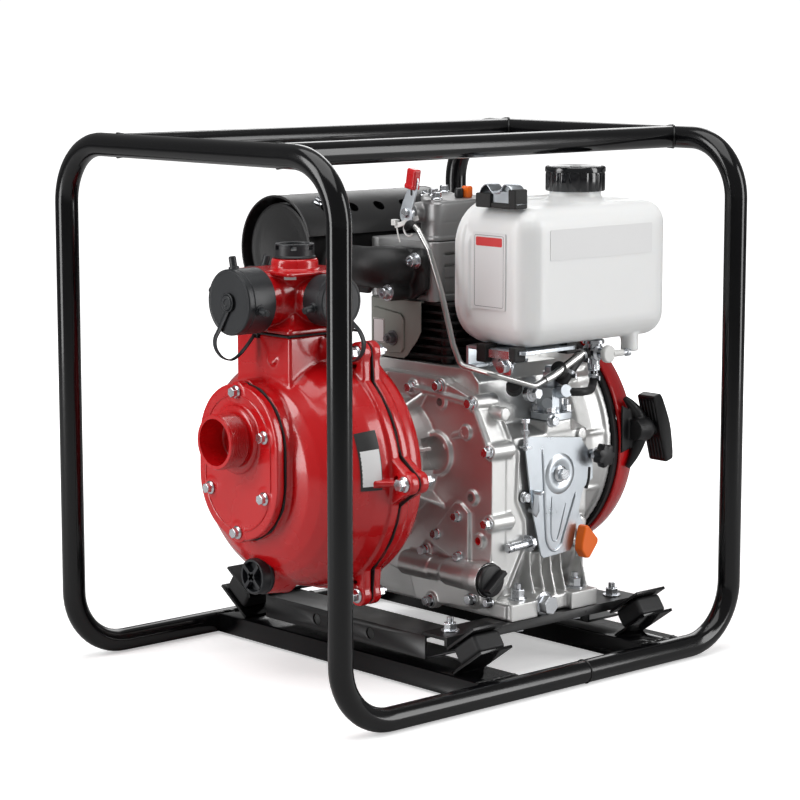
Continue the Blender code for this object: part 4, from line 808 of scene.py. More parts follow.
def rounded_square(half, corner, steps=6):
    points = []
    for quarter in range(4):
        turn = math.pi / 2 * quarter
        for i in range(steps + 1):
            a = turn + math.pi / 2 * i / steps
            cx = (half - corner) * (1 if quarter in (0, 3) else -1)
            cy = (half - corner) * (1 if quarter in (0, 1) else -1)
            points.append((cx + corner * math.cos(a), cy + corner * math.sin(a)))
    return points


def make_head():
    waist = [(0.0445, 0.0, 0.004), (0.0445, 0.0050, 0.004), (0.0425, 0.0068, 0.004),
             (0.0375, 0.0095, 0.005), (0.0330, 0.0140, 0.006), (0.0295, 0.0200, 0.007),
             (0.0272, 0.0270, 0.008), (0.0265, 0.0350, 0.008), (0.0272, 0.0430, 0.008),
             (0.0295, 0.0500, 0.007), (0.0335, 0.0560, 0.006), (0.0390, 0.0600, 0.005),
             (0.0440, 0.0620, 0.004), (0.0445, 0.0626, 0.003), (0.0445, 0.0654, 0.003)]
    bm = bmesh.new()
    rings = []
    for half, up, corner in waist:
        rings.append([bm.verts.new((x, NECK_Y + y, HEAD_BASE + up))
                      for x, y in rounded_square(half, corner)])
    bridge(bm, rings)
    bm.faces.new(rings[0][::-1])
    bm.faces.new(rings[-1])
    lathe(bm, [(0.0256, 0.0), (0.0252, 0.0118), (0.0240, 0.0145), (0.0, 0.0145)],
          (0, NECK_Y, PLATE_Z), Z, 64)
    for axis, reach, r in ((-Y, 0.0815, 0.0295), (X, 0.0675, 0.0235), (-X, 0.0675, 0.0235)):
        base = Vector((0, NECK_Y, OUTLET_Z))
        cyl(bm, base, base + axis * reach, r, steps=56)
        cyl(bm, base + axis * 0.020, base + axis * 0.0400, r + 0.003, r + 0.001, steps=56)
    holes = bmesh.new()
    base = Vector((0, NECK_Y, OUTLET_Z))
    cyl(holes, base, base - Y * 0.12, 0.0245, steps=40)
    cyl(holes, base - X * 0.10, base + X * 0.10, 0.0185, steps=40)
    cyl(holes, (0, NECK_Y, 0.37), (0, NECK_Y, 0.48), 0.0182, steps=40)
    cast("discharge_head_body", bm, "red", 0.0011, 4, "discharge_head", holes=holes)

    badge = bmesh.new()
    middle = Vector((0.0375, NECK_Y - 0.0375, PLATE_Z - 0.0012))
    size = Vector((0.0130, 0.0024, 0.0052)) / 2
    block(badge, middle - size, middle + size, Matrix.Rotation(math.radians(45), 4, "Z"))
    emit("head_badge", badge, "machined", bevel=0.0006)

    ring = bmesh.new()
    square = rounded_square(0.0462, 0.004, 5)
    route = [Vector((x, NECK_Y + y, 0.3826 + 0.0005 * math.sin(i * 0.9)))
             for i, (x, y) in enumerate(square + square[:1])]
    sweep(ring, curve_through(route, 2), 0.0013, 8)
    for x, y, wide, deep in ((-0.0090, -0.0462, 0.0080, 0.0036), (0.0462, 0.0130, 0.0036, 0.0140),
                             (-0.0462, 0.0130, 0.0036, 0.0140)):
        at = Vector((x, NECK_Y + y, 0.3802))
        size = Vector((wide, deep, 0.0060)) / 2
        block(ring, at - size, at + size)
    emit("neck_ring", ring, "gasket", bevel=0.0004, segments=1)


def outlet_cap(name, axis, face, radius, length, pipe, strap, pins):
    """Cap with a grooved skirt, a face button and three spanner pins, held by a moulded strap."""
    base = Vector((0, NECK_Y, OUTLET_Z)) + axis * (face - length)
    bm = bmesh.new()
    lathe(bm, [(pipe + 0.0006, 0.0), (radius, 0.0), (radius, length - 0.0085),
               (radius - 0.0006, length - 0.0078), (radius, length - 0.0070),
               (radius, length - 0.0012), (radius - 0.0012, length), (radius - 0.0030, length),
               (radius - 0.0034, length - 0.0005), (0.0, length - 0.0005), (0.0, length - 0.006),
               (pipe + 0.0006, length - 0.006)], base, axis, 72)
    lathe(bm, [(0.0080, 0.0), (0.0080, 0.0036), (0.0070, 0.0044), (0.0040, 0.0044),
               (0.0034, 0.0034), (0.0, 0.0034)], base + axis * (length - 0.0006), axis, 32)
    for degrees in pins:
        angle = math.radians(90 - degrees)
        turn = Matrix.Rotation(angle, 3, axis if axis.x + axis.y > 0 else -axis)
        out = turn @ Z
        root = base + axis * (length - 0.014)
        cyl(bm, root + out * (radius - 0.003), root + out * (radius + 0.0024), 0.0064, 0.0054,
            steps=24)
        cyl(bm, root + out * radius, root + out * (radius + 0.0122), 0.0040, steps=24)
        cyl(bm, root + out * (radius + 0.0122), root + out * (radius + 0.0134), 0.0040, 0.0030,
            steps=24)
    emit(f"{name}_cap_moulding", bm, "cap", bevel=0.0004, stands_for=f"{name}_cap", smooth=28)

    tether = bmesh.new()
    band(tether, strap, -Y if abs(axis.x) > 0.5 else X, 0.0062, 0.0016, 0.85)
    eye = base + axis * (length + 0.0012)
    lathe(tether, [(0.0083, 0.0), (0.0102, 0.0), (0.0102, 0.0016), (0.0083, 0.0016)], eye, axis, 32,
          loop=True)
    blended(f"{name}_cap_strap", tether, "cap")


def make_caps():
    front = ((0.0, -0.2508, 0.4105), (-0.0075, -0.2510, 0.3990), (-0.0140, -0.2518, 0.3880),
             (-0.0190, -0.2528, 0.3790), (-0.0205, -0.2510, 0.3690), (-0.0195, -0.2450, 0.3600),
             (-0.0183, -0.2370, 0.3555), (-0.0177, -0.2300, 0.3555), (-0.0155, -0.2225, 0.3605),
             (-0.0120, -0.2150, 0.3700), (-0.0095, -0.2075, 0.3805))
    side = ((0.0780, -0.158, 0.4105), (0.0800, -0.155, 0.4040), (0.0860, -0.152, 0.3970),
            (0.0935, -0.149, 0.3885), (0.0975, -0.147, 0.3770), (0.0950, -0.147, 0.3655),
            (0.0870, -0.148, 0.3580), (0.0770, -0.150, 0.3555), (0.0670, -0.152, 0.3590),
            (0.0580, -0.154, 0.3670), (0.0500, -0.156, 0.3800))
    mirrored = tuple((-x, y, z) for x, y, z in side)
    side_pins = (-11, 109, 229)
    outlet_cap("front", -Y, 0.0905, 0.035, 0.036, 0.0295, front, (-11, 103, 169))
    outlet_cap("right", X, 0.0765, 0.0275, 0.031, 0.0235, side, side_pins)
    outlet_cap("left", -X, 0.0765, 0.0275, 0.031, 0.0235, mirrored, side_pins)

    plug = bmesh.new()
    foot = Vector((0, NECK_Y, 0.4603))
    lathe(plug, [(0.0178, -0.013), (0.0178, 0.0), (0.0222, 0.0), (0.0228, 0.0010),
                 (0.0222, 0.0022), (0.0212, 0.0030), (0.0212, 0.0092), (0.0120, 0.0092),
                 (0.0, 0.0092)], foot, Z, 64)
    for index in range(6):
        middle = math.radians(60 * index + 47)
        wall = []
        for r, order in ((0.0212, 1), (0.0160, -1)):
            arc = [(r * math.cos(middle + t), NECK_Y + r * math.sin(middle + t))
                   for t in (math.radians(-20 + 40 * k / 6) for k in range(7))]
            wall += arc[::order]
        slab(plug, wall, "XY", foot.z + 0.0090, foot.z + 0.0140)
    lathe(plug, [(0.0160, 0.0), (0.0212, 0.0), (0.0208, 0.0016), (0.0164, 0.0016)],
          foot + Z * 0.0138, Z, 64, loop=True)
    emit("priming_plug_moulding", plug, "cap", bevel=0.0003, segments=1,
         stands_for="priming_plug")


# ---------------------------------------------------------------- crankcase

CASE_OUTLINE = [(-0.112, 0.094), (0.126, 0.094), (0.139, 0.122), (0.1445, 0.150),
                (0.1490, 0.170), (0.1490, 0.262), (0.118, 0.272), (0.114, 0.322),
                (0.100, 0.335), (-0.095, 0.335), (-0.128, 0.300), (-0.134, 0.232),
                (-0.126, 0.140)]
COVER_OUTLINE = [(-0.100, 0.150), (-0.060, 0.112), (0.020, 0.0950), (0.030, 0.0700),
                 (0.128, 0.0740), (0.1500, 0.096), (0.1515, 0.150), (0.1515, 0.258),
                 (0.126, 0.304), (0.070, 0.322), (-0.030, 0.324), (-0.090, 0.296),
                 (-0.116, 0.235)]
COVER_BOSSES = ((0.1226, 0.3017), (0.1490, 0.2516), (0.1490, 0.1730), (0.0268, 0.3093),
                (0.0716, 0.3155), (0.0565, 0.0730), (0.1238, 0.0861), (0.0482, 0.1289))
PLAIN_HOLES = ((0.1129, 0.2688), (0.1232, 0.1985), (0.0737, 0.2980), (0.1344, 0.1522))
OIL_PUMP = [(0.0660, 0.1560), (0.0980, 0.1900), (0.1070, 0.1900), (0.1195, 0.1810),
            (0.1195, 0.1290), (0.1080, 0.1210), (0.0600, 0.1400)]
NECK_AXIS = Vector((0, -0.0166, 0.1120))


def strip(bm, corners, across, thick):
    """Flat plate of any outline in space, centred on its corners."""
    across = Vector(across) * thick / 2
    rings = [[bm.verts.new(Vector(c) + across * s) for c in corners] for s in (-1, 1)]
    bm.faces.new(rings[0])
    bm.faces.new(rings[1][::-1])
    bridge(bm, rings)


def make_crankcase():
    bm = bmesh.new()
    slab(bm, CASE_OUTLINE, "XZ", 0.004, 0.1385)
    block(bm, (-0.134, 0.004, 0.0648), (0.1585, 0.1385, 0.0820))
    block(bm, (-0.130, 0.004, 0.0780), (0.1300, 0.1385, 0.0980))
    for side in (-1, 1):
        for near, far in ((0.006, 0.046), (0.098, 0.1395)):
            block(bm, (min(side * 0.110, side * 0.1665), near, 0.0645),
                  (max(side * 0.110, side * 0.1665), far, 0.0828))
        for y in (0.052, 0.068, 0.084, 0.100, 0.134):
            strip(bm, [(side * 0.128, y, 0.080), (side * 0.1575, y, 0.080),
                       (side * 0.1490, y, 0.108), (side * 0.1475, y, 0.132),
                       (side * 0.128, y, 0.132)], Y, 0.0032)
        block(bm, (min(side * 0.12, side * 0.1480), 0.050, 0.1290),
              (max(side * 0.12, side * 0.1480), 0.1385, 0.1340))
    cyl(bm, (0.140, 0.058, 0.0764), (0.1630, 0.058, 0.0764), 0.0130)
    cyl(bm, (0.1180, 0.095, 0.262), (0.1180, 0.095, 0.2755), 0.016)
    block(bm, (0.108, 0.074, 0.262), (0.1495, 0.114, 0.2752))
    for y, z in ((0.0095, 0.2905), (0.0790, 0.2350), (0.1290, 0.2560), (0.1290, 0.1560)):
        cyl(bm, (0.120, y, z), (0.1520, y, z), 0.0085, 0.0075)
    for x in (-0.070, -0.020, 0.030, 0.078):
        strip(bm, [(x, 0.139, 0.10), (x, 0.1395, 0.33), (x, 0.120, 0.33), (x, 0.120, 0.10)], X,
              0.004)
    cast("crankcase_casting", bm, "cast", 0.0015, 3, "crankcase")

    bm = bmesh.new()
    slab(bm, COVER_OUTLINE, "XZ", -0.0110, 0.0100)
    slab(bm, [(-0.0110, 0.2600), (0.0160, 0.2600), (0.0290, 0.2471), (0.0265, 0.1944),
              (0.0390, 0.1706), (0.0405, 0.1425), (0.0160, 0.1000), (-0.0110, 0.0960)],
         "YZ", 0.100, 0.1508)
    slab(bm, [(0.100, 0.250), (0.1508, 0.250), (0.1508, 0.2590), (0.1265, 0.3020),
              (0.100, 0.304)], "XZ", -0.0110, 0.0200)
    seam = [(0.1510, 0.0150, 0.0990), (0.1510, 0.0405, 0.1425), (0.1510, 0.0390, 0.1706),
            (0.1510, 0.0265, 0.1944), (0.1510, 0.0290, 0.2471), (0.1510, 0.0180, 0.2600),
            (0.1260, 0.0180, 0.3030)]
    for a, b in zip(seam, seam[1:]):
        cyl(bm, a, b, 0.0024, steps=12)
    for x, z in COVER_BOSSES:
        depth = 0.012 if x < 0.1 else 0.032
        cyl(bm, (x, -0.0135, z), (x, -0.0135 + depth, z), 0.0088, 0.0096, steps=28)
    for x, z in PLAIN_HOLES:
        cyl(bm, (x, -0.0160, z), (x, 0.010, z), 0.0080, 0.0095, steps=28)
    cyl(bm, (0.0674, -0.0175, 0.2405), (0.0674, 0.0, 0.2405), 0.0235, 0.0260, steps=48)
    cyl(bm, (0.0268, -0.0135, 0.3093), (0.1226, -0.0135, 0.3017), 0.0035, steps=16)
    cyl(bm, (0.1226, -0.0125, 0.3017), (0.1490, -0.0125, 0.2516), 0.0032, steps=16)
    strip(bm, [(0.0900, -0.0110, 0.2620), (0.1129, -0.0110, 0.2688), (0.1129, -0.0150, 0.2688),
               (0.0900, -0.0150, 0.2620)], Z, 0.006)
    strip(bm, [(x, -0.0125, z) for x, z in OIL_PUMP], Y, 0.0070)
    lathe(bm, [(0.0580, 0.0), (0.0700, 0.045), (0.0165, 0.045), (0.0165, 0.0)],
          (0, -0.0500, AXIS_Z), Y, 72, loop=True)
    for index in range(8):
        angle = math.radians(45 * index + 12)
        strip(bm, [around(angle, 0.055, -0.046), around(angle, 0.064, -0.046),
                   around(angle, 0.092, -0.012), around(angle, 0.055, -0.012)],
              (-math.sin(angle), 0, math.cos(angle)), 0.0045)
    lathe(bm, [(0.0140, 0.0), (0.0140, 0.046), (0.0125, 0.048), (0.0125, 0.066), (0.0150, 0.070),
               (0.0160, 0.106), (0.0186, 0.120), (0.0186, 0.1320)],
          NECK_AXIS + X * 0.020, X, 48)
    strip(bm, [(0.030, -0.0110, 0.106), (0.145, -0.0110, 0.106), (0.145, -0.0110, 0.118),
               (0.030, -0.0110, 0.118)], Y, 0.014)
    holes = bmesh.new()
    for x, z in PLAIN_HOLES:
        cyl(holes, (x, -0.030, z), (x, -0.006, z), 0.0045, steps=24)
    cyl(holes, (0.0674, -0.030, 0.2405), (0.0674, -0.0118, 0.2405), 0.0190, steps=48)
    cyl(holes, (0, -0.09, AXIS_Z), (0, 0.03, AXIS_Z), 0.0165, steps=40)
    cast("crankcase_cover_casting", bm, "cast", 0.0012, 3, "crankcase_cover", holes=holes)

    insert = bmesh.new()
    x, z = PLAIN_HOLES[3]
    lathe(insert, [(0.0026, 0.0), (0.0043, 0.0), (0.0043, 0.004), (0.0026, 0.004)],
          (x, -0.0150, z), Y, 24, loop=True)
    cyl(insert, (x, -0.0125, z), (x, -0.0105, z), 0.0040, steps=24)
    emit("oil_seal_ring", insert, "grip", smooth=40)

    parts = bmesh.new()
    for index, (x, z) in enumerate(COVER_BOSSES):
        bolt(parts, (x, -0.0137, z), -Y, 0.0100, 0.0065, 0.4 * index)
    for x, z in ((0.1028, 0.1752), (0.0700, 0.1510), (0.1062, 0.1312)):
        bolt(parts, (x, -0.0161, z), -Y, 0.0090, 0.0055, x * 40)
    for side in (-1, 1):
        for y in (0.0330, 0.1230):
            nut(parts, (side * 0.1475, y, 0.0829), Z, 0.0135, 0.0100, 0.0060, 0.2 + y * 8)
            hexagon(parts, (side * 0.1475, y, 0.0530), -Z, 0.0135, 0.0055, 0.3)
    bolt(parts, (0.1630, 0.058, 0.0764), X, 0.0190, 0.0110, 0.25)
    bolt(parts, (0.1500, -0.0120, 0.0865), -Y, 0.0085, 0.0060, 0.25)
    pin_at, pin_tip = Vector((0.1570, 0.0400, 0.1458)), Vector((0.1570, 0.0078, 0.1437))
    along = (pin_tip - pin_at).normalized()
    cyl(parts, pin_at, pin_tip, 0.0050, steps=28)
    cyl(parts, pin_tip, pin_tip + along * 0.0012, 0.0050, 0.0036, steps=28)
    cyl(parts, (0.1480, 0.0400, 0.1458), (0.1585, 0.0400, 0.1458), 0.0060, steps=24)
    lathe(parts, [(0.0095, 0.0), (0.0095, 0.0030), (0.0050, 0.0030), (0.0050, 0.0)],
          pin_at - along * 0.0010, along, 32, loop=True)
    hexagon(parts, pin_at - along * 0.0010, -along, 0.0125, 0.0055, 0.3)
    emit("crankcase_bolts", parts, "zinc", bevel=0.00025, segments=1)
    # Black crossed rods set in the pin's cross hole: painted shade inside the hole.
    eye = bmesh.new()
    middle = pin_tip - along * 0.0050
    cyl(eye, middle - Z * 0.0051, middle + Z * 0.0051, 0.0013, steps=16)
    cyl(eye, middle - X * 0.0051, middle + X * 0.0051, 0.0013, steps=16)
    emit("pin_hole", eye, "plate")

    cap = bmesh.new()
    foot = NECK_AXIS + X * 0.1536
    lathe(cap, [(0.0180, 0.0), (0.0182, 0.0040), (0.0172, 0.0058), (0.0160, 0.0062),
                (0.0, 0.0062)], foot, X, 48)
    size = Vector((0.0105, 0.0055, 0.0320)) / 2
    middle = foot + X * 0.0092
    block(cap, middle - size, middle + size, Matrix.Rotation(math.radians(-52), 4, "X"))
    emit("oil_cap_moulding", cap, "plastic", bevel=0.0009, stands_for="oil_filler_cap")
    dip = bmesh.new()
    lathe(dip, [(0.0186, 0.0), (0.0194, 0.0004), (0.0194, 0.0014), (0.0186, 0.0018)],
          foot - X * 0.0020, X, 48, loop=True)
    emit("oil_cap_gasket", dip, "gasket")


# ---------------------------------------------------------------- barrel, head, rocker cover

def rounded_rect(x0, x1, y0, y1, r, steps=5):
    points = []
    for cx, cy, turn in ((x1 - r, y1 - r, 0), (x0 + r, y1 - r, 90), (x0 + r, y0 + r, 180),
                         (x1 - r, y0 + r, 270)):
        for i in range(steps + 1):
            a = math.radians(turn + 90 * i / steps)
            points.append((cx + r * math.cos(a), cy + r * math.sin(a)))
    return points


def rounded_outline(corners, radius, grow=0.0, steps=6):
    """Closed outline with rounded corners, moved outwards from its middle by grow."""
    middle = sum((Vector(c) for c in corners), Vector((0, 0))) / len(corners)
    corners = [Vector(c) + (Vector(c) - middle).normalized() * grow for c in corners]
    points = []
    for i, here in enumerate(corners):
        before = (corners[i - 1] - here).normalized()
        after = (corners[(i + 1) % len(corners)] - here).normalized()
        for k in range(steps + 1):
            t = k / steps
            points.append(tuple(here + radius * (before * (1 - t) ** 2 + after * t ** 2)))
    return points


ROCKER = ((0.022, 0.005), (0.046, 0.005), (0.046, 0.112), (-0.056, 0.112), (-0.056, 0.076))
ROCKER_BOLTS = ((-0.0120, 0.0550), (0.0350, 0.0160), (0.0350, 0.1010), (-0.0440, 0.1010))


def make_barrel():
    bm = bmesh.new()
    for index in range(7):
        top = 0.4027 - index * 0.00967
        inset = 0.0015 * (index % 2)
        slab(bm, rounded_rect(-0.0680 + inset, 0.0680 - inset, 0.0056 + inset, 0.1144 - inset,
                              0.012), "XY", top - 0.0030, top)
    slab(bm, rounded_rect(-0.0545, 0.0545, 0.0170, 0.1030, 0.020, 8), "XY", 0.3353, 0.4026)
    for x, y in ((-0.050, 0.020), (0.050, 0.020), (-0.050, 0.100), (0.050, 0.100)):
        cyl(bm, (x, y, 0.3353), (x, y, 0.4026), 0.0085)
    emit("cylinder_casting", bm, "barrel", bevel=0.0006, stands_for="cylinder")

    seam = bmesh.new()
    for outline, z in ((rounded_rect(-0.0605, 0.0465, 0.0045, 0.1145, 0.009), 0.4031),
                       (rounded_outline(ROCKER, 0.010, 0.0002), 0.4701),
                       (rounded_rect(-0.0560, 0.0560, 0.0120, 0.1080, 0.010), 0.3350)):
        sweep(seam, [Vector((x, y, z)) for x, y in outline + outline[:1]], 0.0010, 8)
    emit("engine_seams", seam, "gasket")

    bm = bmesh.new()
    for low, high, grow in ((0.4036, 0.4110, 0.0), (0.4130, 0.4280, -0.0018),
                            (0.4300, 0.4420, -0.0010), (0.4446, 0.4548, 0.0),
                            (0.4572, 0.4697, 0.0004)):
        slab(bm, rounded_rect(-0.0620 - grow, 0.0480 + grow, 0.0030 - grow, 0.1160 + grow,
                              0.010), "XY", low, high)
    slab(bm, rounded_rect(-0.0585, 0.0445, 0.0065, 0.1125, 0.010), "XY", 0.4036, 0.4697)
    for x, y in ((0.0385, 0.0110), (-0.0520, 0.0110), (0.0385, 0.1080), (-0.0520, 0.1080),
                 (0.0440, 0.0560)):
        cyl(bm, (x, y, 0.4036), (x, y, 0.4697), 0.0100, steps=28)
    cast("cylinder_head_casting", bm, "headcast", 0.0009, 1, "cylinder_head")

    bm = bmesh.new()
    for low, high, grow in ((0.4704, 0.4745, 0.0012), (0.4740, 0.4898, 0.0),
                            (0.4890, 0.4920, -0.0018), (0.4914, 0.5118, 0.0),
                            (0.5110, 0.5146, -0.0030)):
        slab(bm, rounded_outline(ROCKER, 0.011, grow), "XY", low, high)
    for x, y in ROCKER_BOLTS:
        cyl(bm, (x, y, 0.4706), (x, y, 0.5156), 0.0092, steps=28)
    cyl(bm, (0.016, 0.016, 0.501), (0.016, -0.0060, 0.501), 0.0120, 0.0105, steps=28)
    cast("rocker_cover_casting", bm, "headcast", 0.0010, 1, "rocker_cover")
    tops = bmesh.new()
    for x, y in ROCKER_BOLTS:
        bolt(tops, (x, y, 0.5156), Z, 0.0090, 0.0065, x * 30)
    cyl(tops, (0.016, -0.0030, 0.501), (0.016, -0.0101, 0.501), 0.0088, steps=32)
    emit("head_bolts", tops, "zinc", bevel=0.00025, segments=1)
    for name, at, radius, tall, skin in (
            ("breather_plug", (0.0263, 0.07, 0.5146), 0.0062, 0.0130, "orange"),
            ("breather_knob", (0.0239, 0.06, 0.5146), 0.0050, 0.0110, "plastic")):
        plug = bmesh.new()
        lathe(plug, [(radius * 0.8, 0.0), (radius, 0.002), (radius, tall - 0.002),
                     (radius * 0.8, tall), (0.0, tall)], at, Z, 28)
        emit(name, plug, skin, bevel=0.0004)


def make_decompression():
    pivot = Vector((0.0160, -0.0104, 0.5010))
    arm = []
    for i in range(13):
        a = math.radians(150 + 240 * i / 12)
        arm.append((pivot.x + 0.0102 * math.cos(a), pivot.z - 0.0015 + 0.0108 * math.sin(a)))
    arm += [(0.0290, 0.5150), (0.0345, 0.5330), (0.0345, 0.5400), (0.0215, 0.5400),
            (0.0180, 0.5270), (0.0100, 0.5120)]
    bm = bmesh.new()
    slab(bm, arm, "XZ", -0.0128, -0.0106)
    emit("decompression_arm", bm, "zincmatt", bevel=0.0005, stands_for="decompression_lever")
    screw = bmesh.new()
    lathe(screw, [(0.0055, 0.0), (0.0055, 0.0020), (0.0046, 0.0034), (0.0, 0.0034)],
          pivot - Y * 0.0023, -Y, 32)
    emit("decompression_screw", screw, "zinc", body="decompression_lever", bevel=0.0002)
    # Thin black racetrack on the arm's face: painted shade standing in for the slot.
    slot = bmesh.new()
    slab(slot, [(x + 0.0250, z) for x, z in racetrack(0.0016, 0.0040, 0.5245, 6)], "XZ",
         -0.0129, -0.0127)
    emit("decompression_slot", slot, "plate", body="decompression_lever")
    grip = bmesh.new()
    size = Vector((0.0140, 0.0100, 0.0215)) / 2
    middle = Vector((0.0268, -0.0120, 0.5395))
    block(grip, middle - size, middle + size, Matrix.Rotation(math.radians(10), 4, "Y"))
    waist = Vector((0.0152, 0.0110, 0.0060)) / 2
    low = middle - Vector((0.0020, 0, 0.0088))
    block(grip, low - waist, low + waist, Matrix.Rotation(math.radians(10), 4, "Y"))
    emit("decompression_grip", grip, "grip", body="decompression_lever", bevel=0.0022, segments=4)

    band_bm = bmesh.new()
    band(band_bm, [(0.0020, -0.0165, 0.4865), (0.0100, -0.0150, 0.4885), (0.0200, -0.0110, 0.4930),
                   (0.0280, -0.0050, 0.4960)], Z, 0.0055, 0.0018)
    block(band_bm, (-0.0010, -0.0195, 0.4870), (0.0060, -0.0130, 0.4935))
    emit("pipe_tie", band_bm, "white", bevel=0.0005)
    wire("pipe_tie_tail", [(0.0050, -0.0165, 0.4870), (0.0075, -0.0170, 0.4780),
                           (0.0110, -0.0170, 0.4690)], 0.0008, "white")
    loop = [Vector((0.0200 + 0.0080 * math.cos(a), -0.0120, 0.4840 + 0.0080 * math.sin(a)))
            for a in (math.radians(100 + 215 * i / 14) for i in range(15))]
    wire("return_spring_wire", loop, 0.0011, "white", smooth=False)


# ---------------------------------------------------------------- exhaust

MUFFLER_X, MUFFLER_Z, SHIELD_R = -0.126, 0.4546, 0.0615
ELBOW_Z = 0.4410


def make_exhaust():
    can = [(0.0, 0.0060), (0.0160, 0.0060), (0.0200, 0.0048), (0.0300, 0.0040), (0.0345, 0.0022),
           (0.0410, 0.0010), (0.0460, 0.0012), (0.0492, 0.0), (0.0520, 0.0010), (0.0530, 0.0030),
           (0.0530, 0.0065), (0.0516, 0.0085), (0.0516, 0.2165), (0.0530, 0.2185),
           (0.0530, 0.2220), (0.0515, 0.2245), (0.0470, 0.2250), (0.0400, 0.2225), (0.0, 0.2225)]
    bm = bmesh.new()
    lathe(bm, can, (MUFFLER_X, -0.075, MUFFLER_Z), Y, 96)
    emit("muffler_can", bm, "heat", smooth=40, stands_for="muffler")
    tail = bmesh.new()
    lathe(tail, [(0.0105, 0.0), (0.0120, 0.0), (0.0120, 0.0110), (0.0105, 0.0110)],
          (MUFFLER_X, 0.1480, MUFFLER_Z), Y, 40, loop=True)
    emit("muffler_tail", tail, "heat")

    first, last, steps = math.radians(18), math.radians(205), 66
    outline = []
    for radius, order in ((SHIELD_R, 1), (SHIELD_R - 0.0014, -1)):
        arc = [(MUFFLER_X + radius * math.cos(a), MUFFLER_Z + radius * math.sin(a))
               for a in (first + (last - first) * i / steps for i in range(steps + 1))]
        outline += arc[::order]
    bm = bmesh.new()
    slab(bm, outline, "XZ", -0.0810, 0.1460)
    shield = emit("heat_shield_sheet", bm, "shield", smooth=30, stands_for="heat_shield")
    holes = bmesh.new()
    for angle, start, count in ((96, -0.060, 6), (50, -0.040, 5), (142, -0.040, 5)):
        a = math.radians(angle)
        out = Vector((math.cos(a), 0, math.sin(a)))
        for index in range(count):
            base = Vector((MUFFLER_X, start + 0.0395 * index, MUFFLER_Z))
            cyl(holes, base + out * 0.050, base + out * 0.070, 0.0072, steps=28)
    tool_mesh = bpy.data.meshes.new("shield_holes")
    bmesh.ops.recalc_face_normals(holes, faces=holes.faces)
    holes.to_mesh(tool_mesh)
    holes.free()
    tool = bpy.data.objects.new("shield_holes", tool_mesh)
    bpy.context.scene.collection.objects.link(tool)
    step = shield.modifiers.new("holes", "BOOLEAN")
    step.object = tool
    step.solver = "FAST"
    baked(shield)
    bpy.data.objects.remove(tool)

    lips = bmesh.new()
    for y in (-0.0800, 0.1450):
        sweep(lips, [Vector((MUFFLER_X + (SHIELD_R - 0.0008) * math.cos(a), y,
                             MUFFLER_Z + (SHIELD_R - 0.0008) * math.sin(a)))
                     for a in (first + (last - first) * i / steps for i in range(steps + 1))],
              0.0013, 8)
    for angle in (60, 130):
        a = math.radians(angle)
        for y in (-0.045, 0.118):
            inner = Vector((MUFFLER_X + 0.051 * math.cos(a), y, MUFFLER_Z + 0.051 * math.sin(a)))
            out = Vector((math.cos(a), 0, math.sin(a)))
            cyl(lips, inner, inner + out * 0.0102, 0.0060, steps=20)
    emit("heat_shield_lips", lips, "shield")
    screws = bmesh.new()
    for angle in (60, 130):
        a = math.radians(angle)
        out = Vector((math.cos(a), 0, math.sin(a)))
        for y in (-0.045, 0.118):
            bolt(screws, Vector((MUFFLER_X, y, MUFFLER_Z)) + out * 0.0616, out, 0.0085, 0.0045, 0.3)
    bolt(screws, (-0.1180 + 0.0560, 0.060, 0.4900), (0.45, 0, 0.9), 0.0100, 0.0060, 0.2)
    emit("heat_shield_screws", screws, "zinc", bevel=0.0002, segments=1)

    bm = bmesh.new()
    path = filleted([(-0.0800, -0.034, ELBOW_Z), (0.004, -0.034, ELBOW_Z),
                     (0.004, 0.0005, ELBOW_Z)], 0.027, 12)
    sweep(bm, path, lambda t: 0.0229 - 0.0010 * math.cos(t * 6.28), 40)
    slab(bm, [(-0.0290, 0.4070), (0.0200, 0.4055), (0.0400, 0.4180), (0.0410, 0.4540),
              (0.0340, 0.4625), (-0.0100, 0.4630), (-0.0290, 0.4500)], "XZ", -0.0075, 0.0008)
    cyl(bm, (-0.0860, -0.034, ELBOW_Z), (-0.0700, -0.034, ELBOW_Z), 0.0275, 0.0245, steps=40)
    cyl(bm, (0.0299, -0.0110, 0.4492), (0.0299, 0.0, 0.4492), 0.0105, steps=28)
    cyl(bm, (0.0106, -0.0340, 0.4141), (0.0106, 0.0, 0.4141), 0.0095, steps=28)
    strip(bm, [(-0.0720, -0.034, 0.4250), (-0.0100, -0.034, 0.4250), (-0.0200, -0.034, 0.4110),
               (-0.0560, -0.034, 0.4110)], Y, 0.0060)
    cast("exhaust_elbow_casting", bm, "heat", 0.0014, 6, "exhaust_elbow")
    hard = bmesh.new()
    for at, axis in (((0.0299, -0.0112, 0.4492), -Y), ((0.0106, -0.0342, 0.4141), -Y)):
        at = Vector(at)
        lathe(hard, [(0.0092, 0.0), (0.0092, 0.0016), (0.0066, 0.0018), (0.0064, 0.0090),
                     (0.0058, 0.0098), (0.0034, 0.0098), (0.0030, 0.0050), (0.0, 0.0050)],
              at, axis, 32)
    emit("elbow_bolts", hard, "zinc", bevel=0.0002, segments=1)


